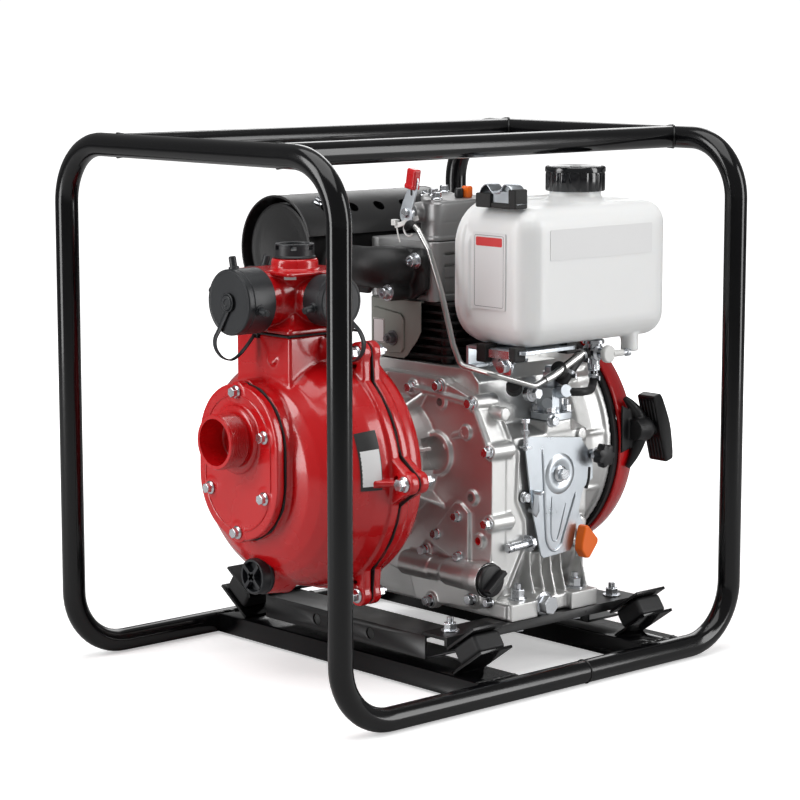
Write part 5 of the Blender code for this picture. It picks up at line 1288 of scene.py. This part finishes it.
def make_baffle():
    bm = bmesh.new()
    outline = [(-0.0520, 0.3380), (0.0020, 0.3380), (0.0080, 0.3420), (0.0128, 0.3480),
               (0.0240, 0.3600), (0.0300, 0.3700), (0.0300, 0.4020), (-0.0520, 0.4034)]
    slab(bm, outline, "XZ", -0.0036, -0.0022)
    block(bm, (-0.0520, -0.0036, 0.4018), (0.0300, 0.0020, 0.4034))
    emit("baffle_sheet", bm, "grey", bevel=0.0005, stands_for="cylinder_baffle")
    panel = bmesh.new()
    inner = [(-0.0460, 0.3415), (-0.0010, 0.3440), (0.0040, 0.3490), (0.0040, 0.3820),
             (-0.0010, 0.3880), (-0.0460, 0.3930)]
    slab(panel, inner, "XZ", -0.0062, -0.0030)
    emit("baffle_panel", panel, "grey", bevel=0.0020, segments=4)
    face = bmesh.new()
    block(face, (-0.0450, -0.0066, 0.3530), (-0.0270, -0.0063, 0.3800))
    emit("baffle_label", face, "label")
    edge = bmesh.new()
    frame_line = [Vector((x, -0.0067, z)) for x, z in rounded_rect(-0.0445, -0.0275, 0.3537, 0.3793,
                                                                  0.002, 4)]
    sweep(edge, frame_line + frame_line[:1], 0.0003, 6)
    emit("baffle_label_line", edge, "plate")
    hard = bmesh.new()
    nut(hard, (-0.0130, -0.0064, 0.3600), -Y, 0.0110, 0.0070, 0.0035, 0.3)
    emit("baffle_nut", hard, "iron", bevel=0.0003, segments=1)


# ---------------------------------------------------------------- recoil starter

GUIDE_X, GUIDE_Z, HANDLE_Y, LEAN = 0.1455, 0.2500, 0.2550, math.radians(16)


def make_starter():
    bm = bmesh.new()
    lathe(bm, [(0.0300, 0.0), (0.1000, 0.0), (0.1120, 0.0050), (0.1205, 0.0160), (0.1260, 0.0330),
               (0.1275, 0.0490), (0.1300, 0.0520), (0.1305, 0.0580), (0.1200, 0.0580),
               (0.1185, 0.0180), (0.0960, 0.0060), (0.0300, 0.0060)],
          (0, 0.1404, AXIS_Z), Y, 120, loop=True)
    for index in range(12):
        angle = math.radians(30 * index + 8)
        strip(bm, [around(angle, 0.060, 0.1440), around(angle, 0.060, 0.1405),
                   around(angle, 0.110, 0.1405), around(angle, 0.1285, 0.1680),
                   around(angle, 0.1285, 0.1940), around(angle, 0.1215, 0.1900)],
              (-math.sin(angle), 0, math.cos(angle)), 0.0042)
    for index in range(4):
        angle = math.radians(90 * index + 45)
        cyl(bm, around(angle, 0.1230, 0.1780), around(angle, 0.1230, 0.1984), 0.0080, steps=24)
    cast("fan_housing_casting", bm, "cast", 0.0016, 3, "fan_housing")

    bm = bmesh.new()
    lathe(bm, [(0.1190, 0.0), (0.1325, 0.0), (0.1338, 0.0012), (0.1338, 0.0066),
               (0.1328, 0.0078), (0.1190, 0.0078)], (0, 0.1992, AXIS_Z), Y, 120, loop=True)
    emit("recoil_flange_ring", bm, "plastic", smooth=40, stands_for="recoil_flange")

    bm = bmesh.new()
    outer = [(0.1345, 0.0), (0.1360, 0.0012), (0.1360, 0.0110), (0.1350, 0.0170), (0.1322, 0.0250),
             (0.1262, 0.0320), (0.1180, 0.0386), (0.1060, 0.0440), (0.0900, 0.0490),
             (0.0740, 0.0520), (0.0600, 0.0536), (0.0540, 0.0541), (0.0, 0.0541)]
    inner = [(0.0, 0.0500), (0.0540, 0.0500), (0.0720, 0.0478), (0.0880, 0.0450),
             (0.1040, 0.0398), (0.1150, 0.0342), (0.1240, 0.0260), (0.1300, 0.0150),
             (0.1320, 0.0)]
    lathe(bm, outer + inner, (0, 0.2075, AXIS_Z), Y, 144, loop=True)
    lathe(bm, [(0.0400, 0.0), (0.0460, 0.0), (0.0440, 0.0022), (0.0410, 0.0022)],
          (0, 0.2600, AXIS_Z), Y, 96, loop=True)
    holes = bmesh.new()
    for index in range(10):
        angle = math.radians(36 * index + 90)
        low, high = around(angle, 0.0640, 0.24), around(angle, 0.0900, 0.24)
        side = Vector((-math.sin(angle), 0, math.cos(angle))) * 0.0052
        ring = [low - side, high - side * 1.7, high + side * 1.7, low + side]
        slab(holes, [(c.x, c.z) for c in ring], "XZ", 0.235, 0.275)
    for degrees in (17, 52, 128, 163, 200, 340):
        angle = math.radians(degrees)
        arc = [around(angle + math.radians(t), 0.1235, 0.0) for t in range(-7, 8, 2)]
        arc += [around(angle + math.radians(t), 0.1185, 0.0) for t in range(7, -8, -2)]
        slab(holes, [(c.x, c.z) for c in arc], "XZ", 0.228, 0.260)
    cast("recoil_dome", bm, "starter", 0.0014, 3, "recoil_housing", holes=holes)

    hard = bmesh.new()
    bolt(hard, (0, 0.2616, AXIS_Z), Y, 0.0120, 0.0070, 0.2)
    emit("starter_bolts", hard, "zinc", bevel=0.0002, segments=1)

    guide = bmesh.new()
    route = curve_through([(0.1375, 0.2180, 0.2060), (0.1390, 0.2270, 0.2200),
                           (0.1410, 0.2330, 0.2360), (0.1430, 0.2350, 0.2500),
                           (0.1400, 0.2320, 0.2650), (0.1370, 0.2240, 0.2770),
                           (0.1340, 0.2160, 0.2860)], 6)
    sweep(guide, route, lambda t: 0.0030 + 0.0055 * math.sin(math.pi * t), 20)
    lathe(guide, [(0.0120, -0.0150), (0.0128, -0.0060), (0.0138, -0.0010), (0.0140, 0.0030),
                  (0.0128, 0.0068), (0.0100, 0.0080), (0.0062, 0.0072), (0.0050, 0.0)],
          (GUIDE_X, 0.2340, GUIDE_Z), Y, 40)
    strip(guide, [(0.1372, 0.2080, 0.2240), (0.1372, 0.2300, 0.2300), (0.1372, 0.2300, 0.2680),
                  (0.1372, 0.2080, 0.2780)], X, 0.0030)
    cast("rope_guide_moulding", guide, "plastic", 0.0008, 4, "rope_guide")

    def on_bar(a, b, x=0.0):
        """Point of the T-handle: a across its thickness, b along its length."""
        return Vector((GUIDE_X + x, HANDLE_Y + a * math.cos(LEAN) - b * math.sin(LEAN),
                       GUIDE_Z + a * math.sin(LEAN) + b * math.cos(LEAN)))

    half = 0.0405
    bar = bmesh.new()
    outline = [(-0.0062, -half), (0.0062, -half), (0.0085, -half * 0.8), (0.0105, -half * 0.5),
               (0.0120, -half * 0.2), (0.0124, 0.0), (0.0120, half * 0.2), (0.0105, half * 0.5),
               (0.0085, half * 0.8), (0.0062, half), (-0.0062, half)]
    rings = [[bar.verts.new(on_bar(a, b, x)) for a, b in outline] for x in (-0.0138, 0.0138)]
    bar.faces.new(rings[0])
    bar.faces.new(rings[1][::-1])
    bridge(bar, rings)
    emit("handle_bar", bar, "plastic", bevel=0.0026, segments=4, stands_for="recoil_handle")
    ribs = bmesh.new()
    for x in (-0.0096, -0.0048, 0.0, 0.0048, 0.0096):
        for low, high in ((-half + 0.004, -0.010), (0.010, half - 0.004)):
            route = [on_bar(-0.0064, low + (high - low) * i / 6, x) for i in range(7)]
            sweep(ribs, route, lambda t: 0.0004 + 0.0011 * min(1, 8 * t, 8 * (1 - t)), 12)
    stem_top = Vector((GUIDE_X, 0.2495, GUIDE_Z))
    lathe(ribs, [(0.0068, -0.0105), (0.0072, -0.0060), (0.0078, -0.0010), (0.0098, 0.0030)],
          stem_top, Y, 32)
    emit("handle_ribs", ribs, "plastic", body="handle", smooth=40)

    rope = bmesh.new()
    rings = []
    for i in range(41):
        y = 0.2385 + 0.0085 * i / 40
        rings.append([rope.verts.new((GUIDE_X + 0.0023 * math.cos(a), y,
                                      GUIDE_Z + 0.0023 * math.sin(a)))
                      for a in (2 * math.pi * j / 12 for j in range(12))])
    bridge(rope, rings)
    rope.faces.new(rings[0][::-1])
    rope.faces.new(rings[-1])
    blended("starter_rope", rope, "rope")


def blended(name, bm, skin):
    """Piece whose mesh reaches from one body to the next, left unattached with its transform baked in.
    """
    bmesh.ops.recalc_face_normals(bm, faces=bm.faces)
    mesh = bpy.data.meshes.new(name)
    bm.to_mesh(mesh)
    bm.free()
    mesh.materials.append(SKINS[skin])
    mesh.polygons.foreach_set("use_smooth", [True] * len(mesh.polygons))
    obj = bpy.data.objects.new(name, mesh)
    bpy.context.scene.collection.objects.link(obj)
    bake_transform(obj)
    return obj


# ---------------------------------------------------------------- tank and fuel system

def soft_box(bm, low, high, r, steps=7):
    """Box with ball-rounded corners and edges."""
    low, high = Vector(low), Vector(high)
    rings = []
    for part in range(2):
        for i in range(steps + 1):
            a = math.pi / 2 * (i / steps - 1) if part == 0 else math.pi / 2 * i / steps
            shrink = r * (1 - math.cos(a))
            z = low.z + r + r * math.sin(a) if part == 0 else high.z - r + r * math.sin(a)
            rings.append([bm.verts.new((x, y, z)) for x, y in rounded_rect(
                low.x + shrink, high.x - shrink, low.y + shrink, high.y - shrink,
                max(r - shrink, 0.0006), steps)])
    bridge(bm, rings)
    bm.faces.new(rings[0][::-1])
    bm.faces.new(rings[-1])


def make_tank():
    bm = bmesh.new()
    soft_box(bm, (0.0710, 0.0100, 0.3615), (0.1830, 0.2385, 0.5135), 0.0260)
    outline = rounded_rect(0.0045, 0.2425, 0.3585, 0.5185, 0.050, 12)
    slab(bm, outline, "YZ", 0.0800, 0.0870)
    slab(bm, rounded_rect(0.0070, 0.2400, 0.3605, 0.5160, 0.048, 12), "YZ", 0.0720, 0.0950)
    filler = (0.126, 0.140, 0.500)
    lathe(bm, [(0.0340, 0.0), (0.0340, 0.0130), (0.0310, 0.0160), (0.0285, 0.0180),
               (0.0285, 0.0290), (0.0, 0.0290)], filler, Z, 64)
    lathe(bm, [(0.0, 0.0), (0.0100, 0.0), (0.0100, 0.0200), (0.0, 0.0200)],
          (0.164, 0.190, 0.3450), Z, 40)
    holes = bmesh.new()
    cyl(holes, (0.126, 0.140, 0.5080), (0.126, 0.140, 0.540), 0.0245, steps=56)
    cast("fuel_tank_moulding", bm, "tank", 0.0013, 14, "fuel_tank", holes=holes)

    cap = bmesh.new()
    top = Vector((0.126, 0.140, 0.5245))
    rings = []
    flutes, per = 18, 8
    for r, d, ripple in ((0.0322, 0.0, 0.5), (0.0330, 0.0010, 1), (0.0330, 0.0185, 1),
                         (0.0326, 0.0205, 0.3), (0.0335, 0.0212, 0), (0.0335, 0.0255, 0),
                         (0.0325, 0.0268, 0), (0.0302, 0.0270, 0), (0.0290, 0.0262, 0),
                         (0.0, 0.0262, 0)):
        ring = []
        for j in range(flutes * per):
            a = 2 * math.pi * j / (flutes * per)
            cut = 0.0011 * ripple * (1 if j % per in (0, 1) else 0)
            rr = max(r - cut, 1e-5)
            ring.append(cap.verts.new((top.x + rr * math.cos(a), top.y + rr * math.sin(a),
                                       top.z + d)))
        rings.append(ring)
    bridge(cap, rings)
    cap.faces.new(rings[0][::-1])
    cap.faces.new(rings[-1])
    lathe(cap, [(0.0060, 0.0), (0.0060, 0.0010), (0.0045, 0.0014), (0.0, 0.0014)],
          top + Z * 0.0258, Z, 24)
    emit("fuel_cap_moulding", cap, "gloss", smooth=40, stands_for="fuel_cap")

    face = bmesh.new()
    slab(face, rounded_rect(0.1000, 0.1500, 0.4020, 0.4850, 0.0015, 3), "XZ", 0.0085, 0.0095)
    emit("tank_side_label", face, "label")
    stripe = bmesh.new()
    slab(stripe, rounded_rect(0.1050, 0.1450, 0.4705, 0.4800, 0.0015, 3), "XZ", 0.0083, 0.0090)
    emit("label_stripe", stripe, "stripe")
    line = bmesh.new()
    border = [Vector((x, 0.0085, z)) for x, z in rounded_rect(0.1030, 0.1470, 0.4050, 0.4820,
                                                            0.0020, 4)]
    sweep(line, border + border[:1], 0.00025, 6)
    emit("label_border", line, "iron")
    face = bmesh.new()
    slab(face, rounded_rect(0.0434, 0.2036, 0.4560, 0.4895, 0.0020, 3), "YZ", 0.1826, 0.1835)
    emit("tank_blank_plate", face, "label")

    clamp = bmesh.new()
    band(clamp, [(0.1090, 0.0180, 0.5165), (0.1110, 0.0180, 0.5300), (0.1200, 0.0180, 0.5365),
                 (0.1290, 0.0180, 0.5290), (0.1390, 0.0180, 0.5285), (0.1470, 0.0180, 0.5370),
                 (0.1560, 0.0180, 0.5350), (0.1620, 0.0180, 0.5260), (0.1640, 0.0180, 0.5165)],
         Y, 0.0190, 0.0022)
    slab(clamp, rounded_rect(0.1270, 0.1560, 0.5160, 0.5300, 0.002, 3), "XZ", 0.0100, 0.0125)
    emit("tank_clamp_saddle", clamp, "zincmatt", bevel=0.0004, segments=1)
    pads = bmesh.new()
    block(pads, (0.1060, 0.0060, 0.5120), (0.1290, 0.0290, 0.5275))
    block(pads, (0.1540, 0.0080, 0.5120), (0.1650, 0.0270, 0.5330))
    block(pads, (0.1230, 0.0075, 0.5120), (0.1580, 0.0280, 0.5180))
    emit("tank_clamp_pads", pads, "gasket", bevel=0.0015, segments=2)

    bm = bmesh.new()
    slab(bm, rounded_rect(0.084, 0.172, 0.014, 0.098, 0.006), "XY", 0.3557, 0.3597)
    slab(bm, rounded_rect(0.0840, 0.0875, 0.014, 0.098, 0.001), "XY", 0.3353, 0.3590)
    slab(bm, rounded_rect(0.0760, 0.0980, 0.014, 0.098, 0.003), "XY", 0.3353, 0.3385)
    slab(bm, [(0.1180, 0.3590), (0.1600, 0.3590), (0.1590, 0.3480), (0.1490, 0.3350),
              (0.1400, 0.3310), (0.1290, 0.3350), (0.1200, 0.3470)], "XZ", 0.0165, 0.0190)
    emit("tank_bracket_sheet", bm, "zincmatt", bevel=0.0005, stands_for="tank_bracket")
    pads = bmesh.new()
    block(pads, (0.1070, 0.0070, 0.3440), (0.1220, 0.0250, 0.3640))
    block(pads, (0.1560, 0.0080, 0.3480), (0.1660, 0.0250, 0.3640))
    block(pads, (0.1480, 0.0900, 0.3500), (0.1640, 0.1060, 0.3640))
    emit("tank_lower_pads", pads, "gasket", bevel=0.0015, segments=2)
    hard = bmesh.new()
    bolt(hard, (0.1440, 0.0160, 0.3410), -Y, 0.0135, 0.0070, 0.3, washer=1.25)
    block(hard, (0.1230, 0.0100, 0.3500), (0.1550, 0.0180, 0.3590))
    emit("tank_bracket_bolt", hard, "zinc", bevel=0.0006, segments=2)


def make_fuel_system():
    x, y = 0.150, 0.147
    bm = bmesh.new()
    lathe(bm, [(0.0068, 0.0), (0.0068, 0.0180), (0.0088, 0.0200), (0.0088, 0.0320)],
          (x, y, 0.3275), Z, 36)
    hexagon(bm, (x, y, 0.3330), -Z, 0.0130, 0.0075, 0.2)
    hexagon(bm, (x, y, 0.3260), -Z, 0.0085, 0.0045, 0.2)
    lathe(bm, [(0.0085, 0.0), (0.0090, 0.0010), (0.0090, 0.0180), (0.0060, 0.0200),
               (0.0050, 0.0280)], (x - 0.0100, y, 0.3460), X, 32)
    lathe(bm, [(0.0120, 0.0), (0.0120, 0.0040), (0.0090, 0.0050)], (x, y, 0.3560), Z, 36)
    emit("fuel_cock_body", bm, "zinc", bevel=0.0004, stands_for="fuel_cock")
    knob = bmesh.new()
    start = Vector((x + 0.0187, y, 0.3460))
    lathe(knob, [(0.0085, 0.0), (0.0098, 0.0008), (0.0098, 0.0052), (0.0085, 0.0066),
                 (0.0, 0.0068)], start, X, 40)
    cyl(knob, start + Vector((0.0034, 0.006, 0)), start + Vector((0.0034, 0.0230, -0.0005)),
        0.0042, 0.0036, steps=28)
    emit("fuel_cock_lever", knob, "white", bevel=0.0005, stands_for="fuel_cock_knob")
    tip = bmesh.new()
    lathe(tip, [(0.0030, 0.0), (0.0034, 0.0004), (0.0034, 0.0022), (0.0026, 0.0026),
                (0.0034, 0.0030), (0.0034, 0.0048), (0.0026, 0.0052), (0.0044, 0.0058),
                (0.0044, 0.0110), (0.0036, 0.0116)], start + Vector((0.0034, 0.0225, -0.0005)), Y, 28)
    emit("fuel_cock_tip", tip, "zinc", body="cock_knob")

    bm = bmesh.new()
    foot = Vector((0.1350, 0.095, 0.2760))
    lathe(bm, [(0.0125, 0.0), (0.0125, 0.0220), (0.0135, 0.0240), (0.0135, 0.0330),
               (0.0115, 0.0350), (0.0115, 0.0440)], foot, Z, 40)
    slab(bm, rounded_rect(0.1183, 0.1540, 0.0770, 0.1130, 0.006), "XY", 0.2760, 0.2835)
    hexagon(bm, foot + Z * 0.0430, Z, 0.0180, 0.0090, 0.3)
    lathe(bm, [(0.0068, 0.0), (0.0068, 0.0060), (0.0050, 0.0075)], foot + Z * 0.0510, Z, 28)
    cyl(bm, foot + Vector((0.006, 0, 0.028)), foot + Vector((0.0300, -0.006, 0.034)), 0.0072,
        steps=28)
    cyl(bm, foot + Vector((0.006, -0.012, 0.018)), foot + Vector((0.0240, -0.030, 0.022)), 0.0058,
        steps=28)
    block(bm, (0.1290, 0.0800, 0.2900), (0.1520, 0.0910, 0.3120))
    emit("injection_pump_body", bm, "zincmatt", bevel=0.0007, stands_for="injection_pump")
    hard = bmesh.new()
    for at in ((0.1470, 0.0830, 0.2836), (0.1470, 0.1070, 0.2836), (0.1250, 0.0830, 0.2836)):
        nut(hard, at, Z, 0.0100, 0.0065, 0.0060, 0.4)
    bolt(hard, (0.1585, 0.0445, 0.3110), X, 0.0110, 0.0070, 0.3)
    lathe(hard, [(0.0078, 0.0), (0.0095, 0.0010), (0.0095, 0.0075), (0.0078, 0.0085)],
          (0.1500, 0.0445, 0.3110), X, 32)
    cyl(hard, (0.1400, 0.0600, 0.3060), (0.1585, 0.0445, 0.3110), 0.0066, steps=28)
    bolt(hard, (0.1545, 0.0758, 0.2769), X, 0.0100, 0.0065, 0.1)
    emit("injection_pump_hardware", hard, "zinc", bevel=0.0003, segments=1)
    grips = bmesh.new()
    for at, axis in (((0.1560, 0.0880, 0.3300), (0.5, -0.7, 0.4)),
                     ((0.1400, 0.0330, 0.3140), (0.6, -0.6, 0.5))):
        lathe(grips, [(0.0070, 0.0), (0.0088, 0.0010), (0.0088, 0.0120), (0.0072, 0.0140)],
              Vector(at), Vector(axis), 28)
    emit("union_sleeves", grips, "gasket", bevel=0.0004)

    hose = [(0.150, 0.147, 0.3265), (0.151, 0.146, 0.3150), (0.158, 0.136, 0.3085),
            (0.168, 0.122, 0.3075), (0.171, 0.106, 0.3078), (0.163, 0.096, 0.3080),
            (0.150, 0.095, 0.3080)]
    wire("fuel_hose_rubber", hose, 0.0045, "rubber", stands_for="fuel_hose", resolution=7)
    wire("feed_hose", [(0.1500, 0.1350, 0.3450), (0.1520, 0.1220, 0.3430), (0.1560, 0.1080, 0.3360),
                       (0.1560, 0.0980, 0.3260), (0.1520, 0.0930, 0.3160)], 0.0068, "rubber",
         resolution=7)
    clips = bmesh.new()
    for at, axis in (((0.1513, 0.1250, 0.3436), (0.1, -1, -0.2)),
                     ((0.1555, 0.1010, 0.3290), (-0.1, -0.5, -1)),
                     ((0.1502, 0.1465, 0.3200), (0, 0, 1)),
                     ((0.1560, 0.0953, 0.3080), (1, 0.1, 0))):
        at = Vector(at)
        r = 0.0073 if at.z > 0.325 else 0.0050
        lathe(clips, [(r, -0.0022), (r + 0.0008, -0.0022), (r + 0.0008, 0.0022), (r, 0.0022)], at,
              axis, 32, loop=True)
        size = Vector((0.0070, 0.0014, 0.0050)) / 2
        ear = at + Vector((r * 0.9 + 0.0020, 0, -r * 0.5))
        block(clips, ear - size, ear + size)
    emit("hose_clips", clips, "zinc")

    pipe = filleted([(0.0340, -0.0185, 0.4898), (0.045, -0.0200, 0.4836), (0.061, -0.0200, 0.4639),
                     (0.0803, -0.0200, 0.4208), (0.0994, -0.0200, 0.3647),
                     (0.1100, -0.0180, 0.3420), (0.1500, -0.0100, 0.3360),
                     (0.1640, 0.0400, 0.3195), (0.1640, 0.0700, 0.3290),
                     (0.1640, 0.1150, 0.3490)], 0.0105, 10)
    wire("return_pipe_tube", pipe, 0.0031, "pipe", stands_for="return_pipe", smooth=False,
         resolution=7)
    wire("return_pipe_sleeve", [(0.1640, 0.0560, 0.3245), (0.1640, 0.0700, 0.3290),
                                (0.1640, 0.0900, 0.3380), (0.1640, 0.1100, 0.3468)], 0.0046, "pipe",
         resolution=7)
    wire("return_hose", [(0.0180, -0.0130, 0.4850), (0.0240, -0.0160, 0.4895),
                         (0.0310, -0.0180, 0.4905), (0.0370, -0.0190, 0.4880)], 0.0038, "gasket")


# ---------------------------------------------------------------- controls

PLATE_FACE = 0.1567


def make_controls():
    bm = bmesh.new()
    outline = [(0.0340, 0.2540), (0.0390, 0.2632), (0.1220, 0.2540), (0.1256, 0.2476),
               (0.1311, 0.2421), (0.1355, 0.2358), (0.1388, 0.2287), (0.1408, 0.2212),
               (0.1412, 0.2060), (0.1270, 0.1970), (0.1230, 0.1880), (0.1100, 0.1340),
               (0.1060, 0.1280), (0.0640, 0.1255), (0.0600, 0.1290), (0.0460, 0.1800)]
    slab(bm, outline, "YZ", 0.1545, PLATE_FACE)
    block(bm, (0.1480, 0.060, 0.2350), (0.1550, 0.100, 0.2500))
    lathe(bm, [(0.0235, 0.0), (0.0225, 0.0005), (0.0200, 0.0022), (0.0175, 0.0026),
               (0.0120, 0.0022), (0.0100, 0.0010), (0.0, 0.0010)],
          (PLATE_FACE - 0.0004, 0.0880, 0.2170), X, 56)
    emit("control_plate_sheet", bm, "zincmatt", bevel=0.0006, stands_for="control_plate")
    press = bmesh.new()
    loop = curve_through([(0.1569, 0.0600, 0.2470), (0.1569, 0.0620, 0.2300),
                          (0.1569, 0.0665, 0.1600), (0.1569, 0.0700, 0.1400),
                          (0.1569, 0.0800, 0.1320), (0.1569, 0.0905, 0.1370),
                          (0.1569, 0.0950, 0.1480), (0.1569, 0.1110, 0.1860),
                          (0.1569, 0.1130, 0.1930)], 8)
    sweep(press, loop, lambda t: 0.0004 + 0.0012 * min(1, 10 * t, 10 * (1 - t)), 14)
    inner = curve_through([(0.1569, 0.0760, 0.1930), (0.1569, 0.0750, 0.1700),
                           (0.1569, 0.0760, 0.1480), (0.1569, 0.0815, 0.1425),
                           (0.1569, 0.0870, 0.1490), (0.1569, 0.0980, 0.1830)], 8)
    sweep(press, inner, lambda t: 0.0003 + 0.0006 * min(1, 10 * t, 10 * (1 - t)), 12)
    emit("control_plate_pressing", press, "zincmatt", smooth=50)
    # Black rod half sunk in the plate along the slot's path: painted shade standing in for the slot.
    slot = bmesh.new()
    sweep(slot, curve_through([(0.1560, 0.1350, 0.2190), (0.1560, 0.1340, 0.2060),
                               (0.1560, 0.1305, 0.1950)], 6), 0.0021, 14)
    emit("control_slot", slot, "plate")
    hard = bmesh.new()
    bolt(hard, (PLATE_FACE + 0.0006, 0.0880, 0.2170), X, 0.0120, 0.0068, 0.3, washer=1.1)
    bolt(hard, (0.1512, 0.0380, 0.1961), X, 0.0095, 0.0060, 0.2)
    cyl(hard, (0.1600, 0.0311, 0.2500), (0.1600, 0.0311, 0.2850), 0.0026, steps=20)
    hexagon(hard, (0.1600, 0.0311, 0.2680), Z, 0.0085, 0.0045, 0.1)
    hexagon(hard, (0.1600, 0.0311, 0.2800), Z, 0.0085, 0.0050, 0.4)
    block(hard, (0.1545, 0.0270, 0.2520), (0.1665, 0.0352, 0.2545))
    emit("control_hardware", hard, "zinc", bevel=0.0003, segments=1)

    arms = bmesh.new()
    slab(arms, [(0.0930, 0.2105), (0.0940, 0.2190), (0.1000, 0.2205), (0.1400, 0.2385),
                (0.1465, 0.2370), (0.1475, 0.2300), (0.1040, 0.2095), (0.1300, 0.1530),
                (0.1240, 0.1200), (0.1180, 0.1195), (0.1180, 0.1480)], "YZ", 0.1523, 0.1538)
    cyl(arms, (0.1530, 0.1420, 0.2330), (0.1600, 0.1420, 0.2330), 0.0026, steps=20)
    cyl(arms, (0.1530, 0.1205, 0.1220), (0.1605, 0.1205, 0.1220), 0.0018, steps=20)
    emit("speed_lever_arms", arms, "zincmatt", bevel=0.0003, segments=1, stands_for="speed_lever")
    grip = bmesh.new()
    outline = [(0.1130, 0.1385), (0.1180, 0.1570), (0.1230, 0.1575), (0.1395, 0.1400),
               (0.1385, 0.1350), (0.1260, 0.1198), (0.1190, 0.1205), (0.1125, 0.1300)]
    slab(grip, [(y - 0.004, z) for y, z in outline], "YZ", 0.1596, 0.1722)
    emit("lever_grip_moulding", grip, "orange", body="speed_lever", bevel=0.0034, segments=5)

    spring = []
    for i in range(73):
        a = math.radians(30 * i)
        r = 0.0072
        spring.append((0.1600 + 0.0060 * i / 72, 0.1420 + r * math.cos(a), 0.2330 + r * math.sin(a)))
    wire("knob_spring", spring, 0.0007, "zinc", body="speed_knob", smooth=False, resolution=3)
    knob = bmesh.new()
    lobes, per = 7, 10
    rings = []
    for r, x in ((0.0055, 0.1596), (0.0055, 0.1655), (0.0100, 0.1660), (0.0118, 0.1675),
                 (0.0122, 0.1745), (0.0112, 0.1775), (0.0070, 0.1785)):
        ring = []
        for j in range(lobes * per):
            a = 2 * math.pi * j / (lobes * per)
            wave = 1 + (0.13 * math.cos(lobes * a) if r > 0.008 else 0)
            ring.append(knob.verts.new((x, 0.1420 + r * wave * math.cos(a),
                                        0.2330 + r * wave * math.sin(a))))
        rings.append(ring)
    bridge(knob, rings)
    knob.faces.new(rings[0][::-1])
    knob.faces.new(rings[-1])
    emit("speed_knob_moulding", knob, "plastic", smooth=45, stands_for="speed_knob")
    refine("stop_lever", "zincmatt", 0.0004, 1)


def main():
    make_stage()
    for skin, nodes in NODE_SKINS.items():
        for node in nodes.split():
            for slot in bpy.data.objects[node].material_slots:
                slot.material = SKINS[skin]
    make_cage()
    make_subframe()
    make_pump()
    make_casing_label()
    make_suction()
    make_head()
    make_caps()
    make_crankcase()
    make_barrel()
    make_decompression()
    make_exhaust()
    make_baffle()
    make_starter()
    make_tank()
    make_fuel_system()
    make_controls()


main()
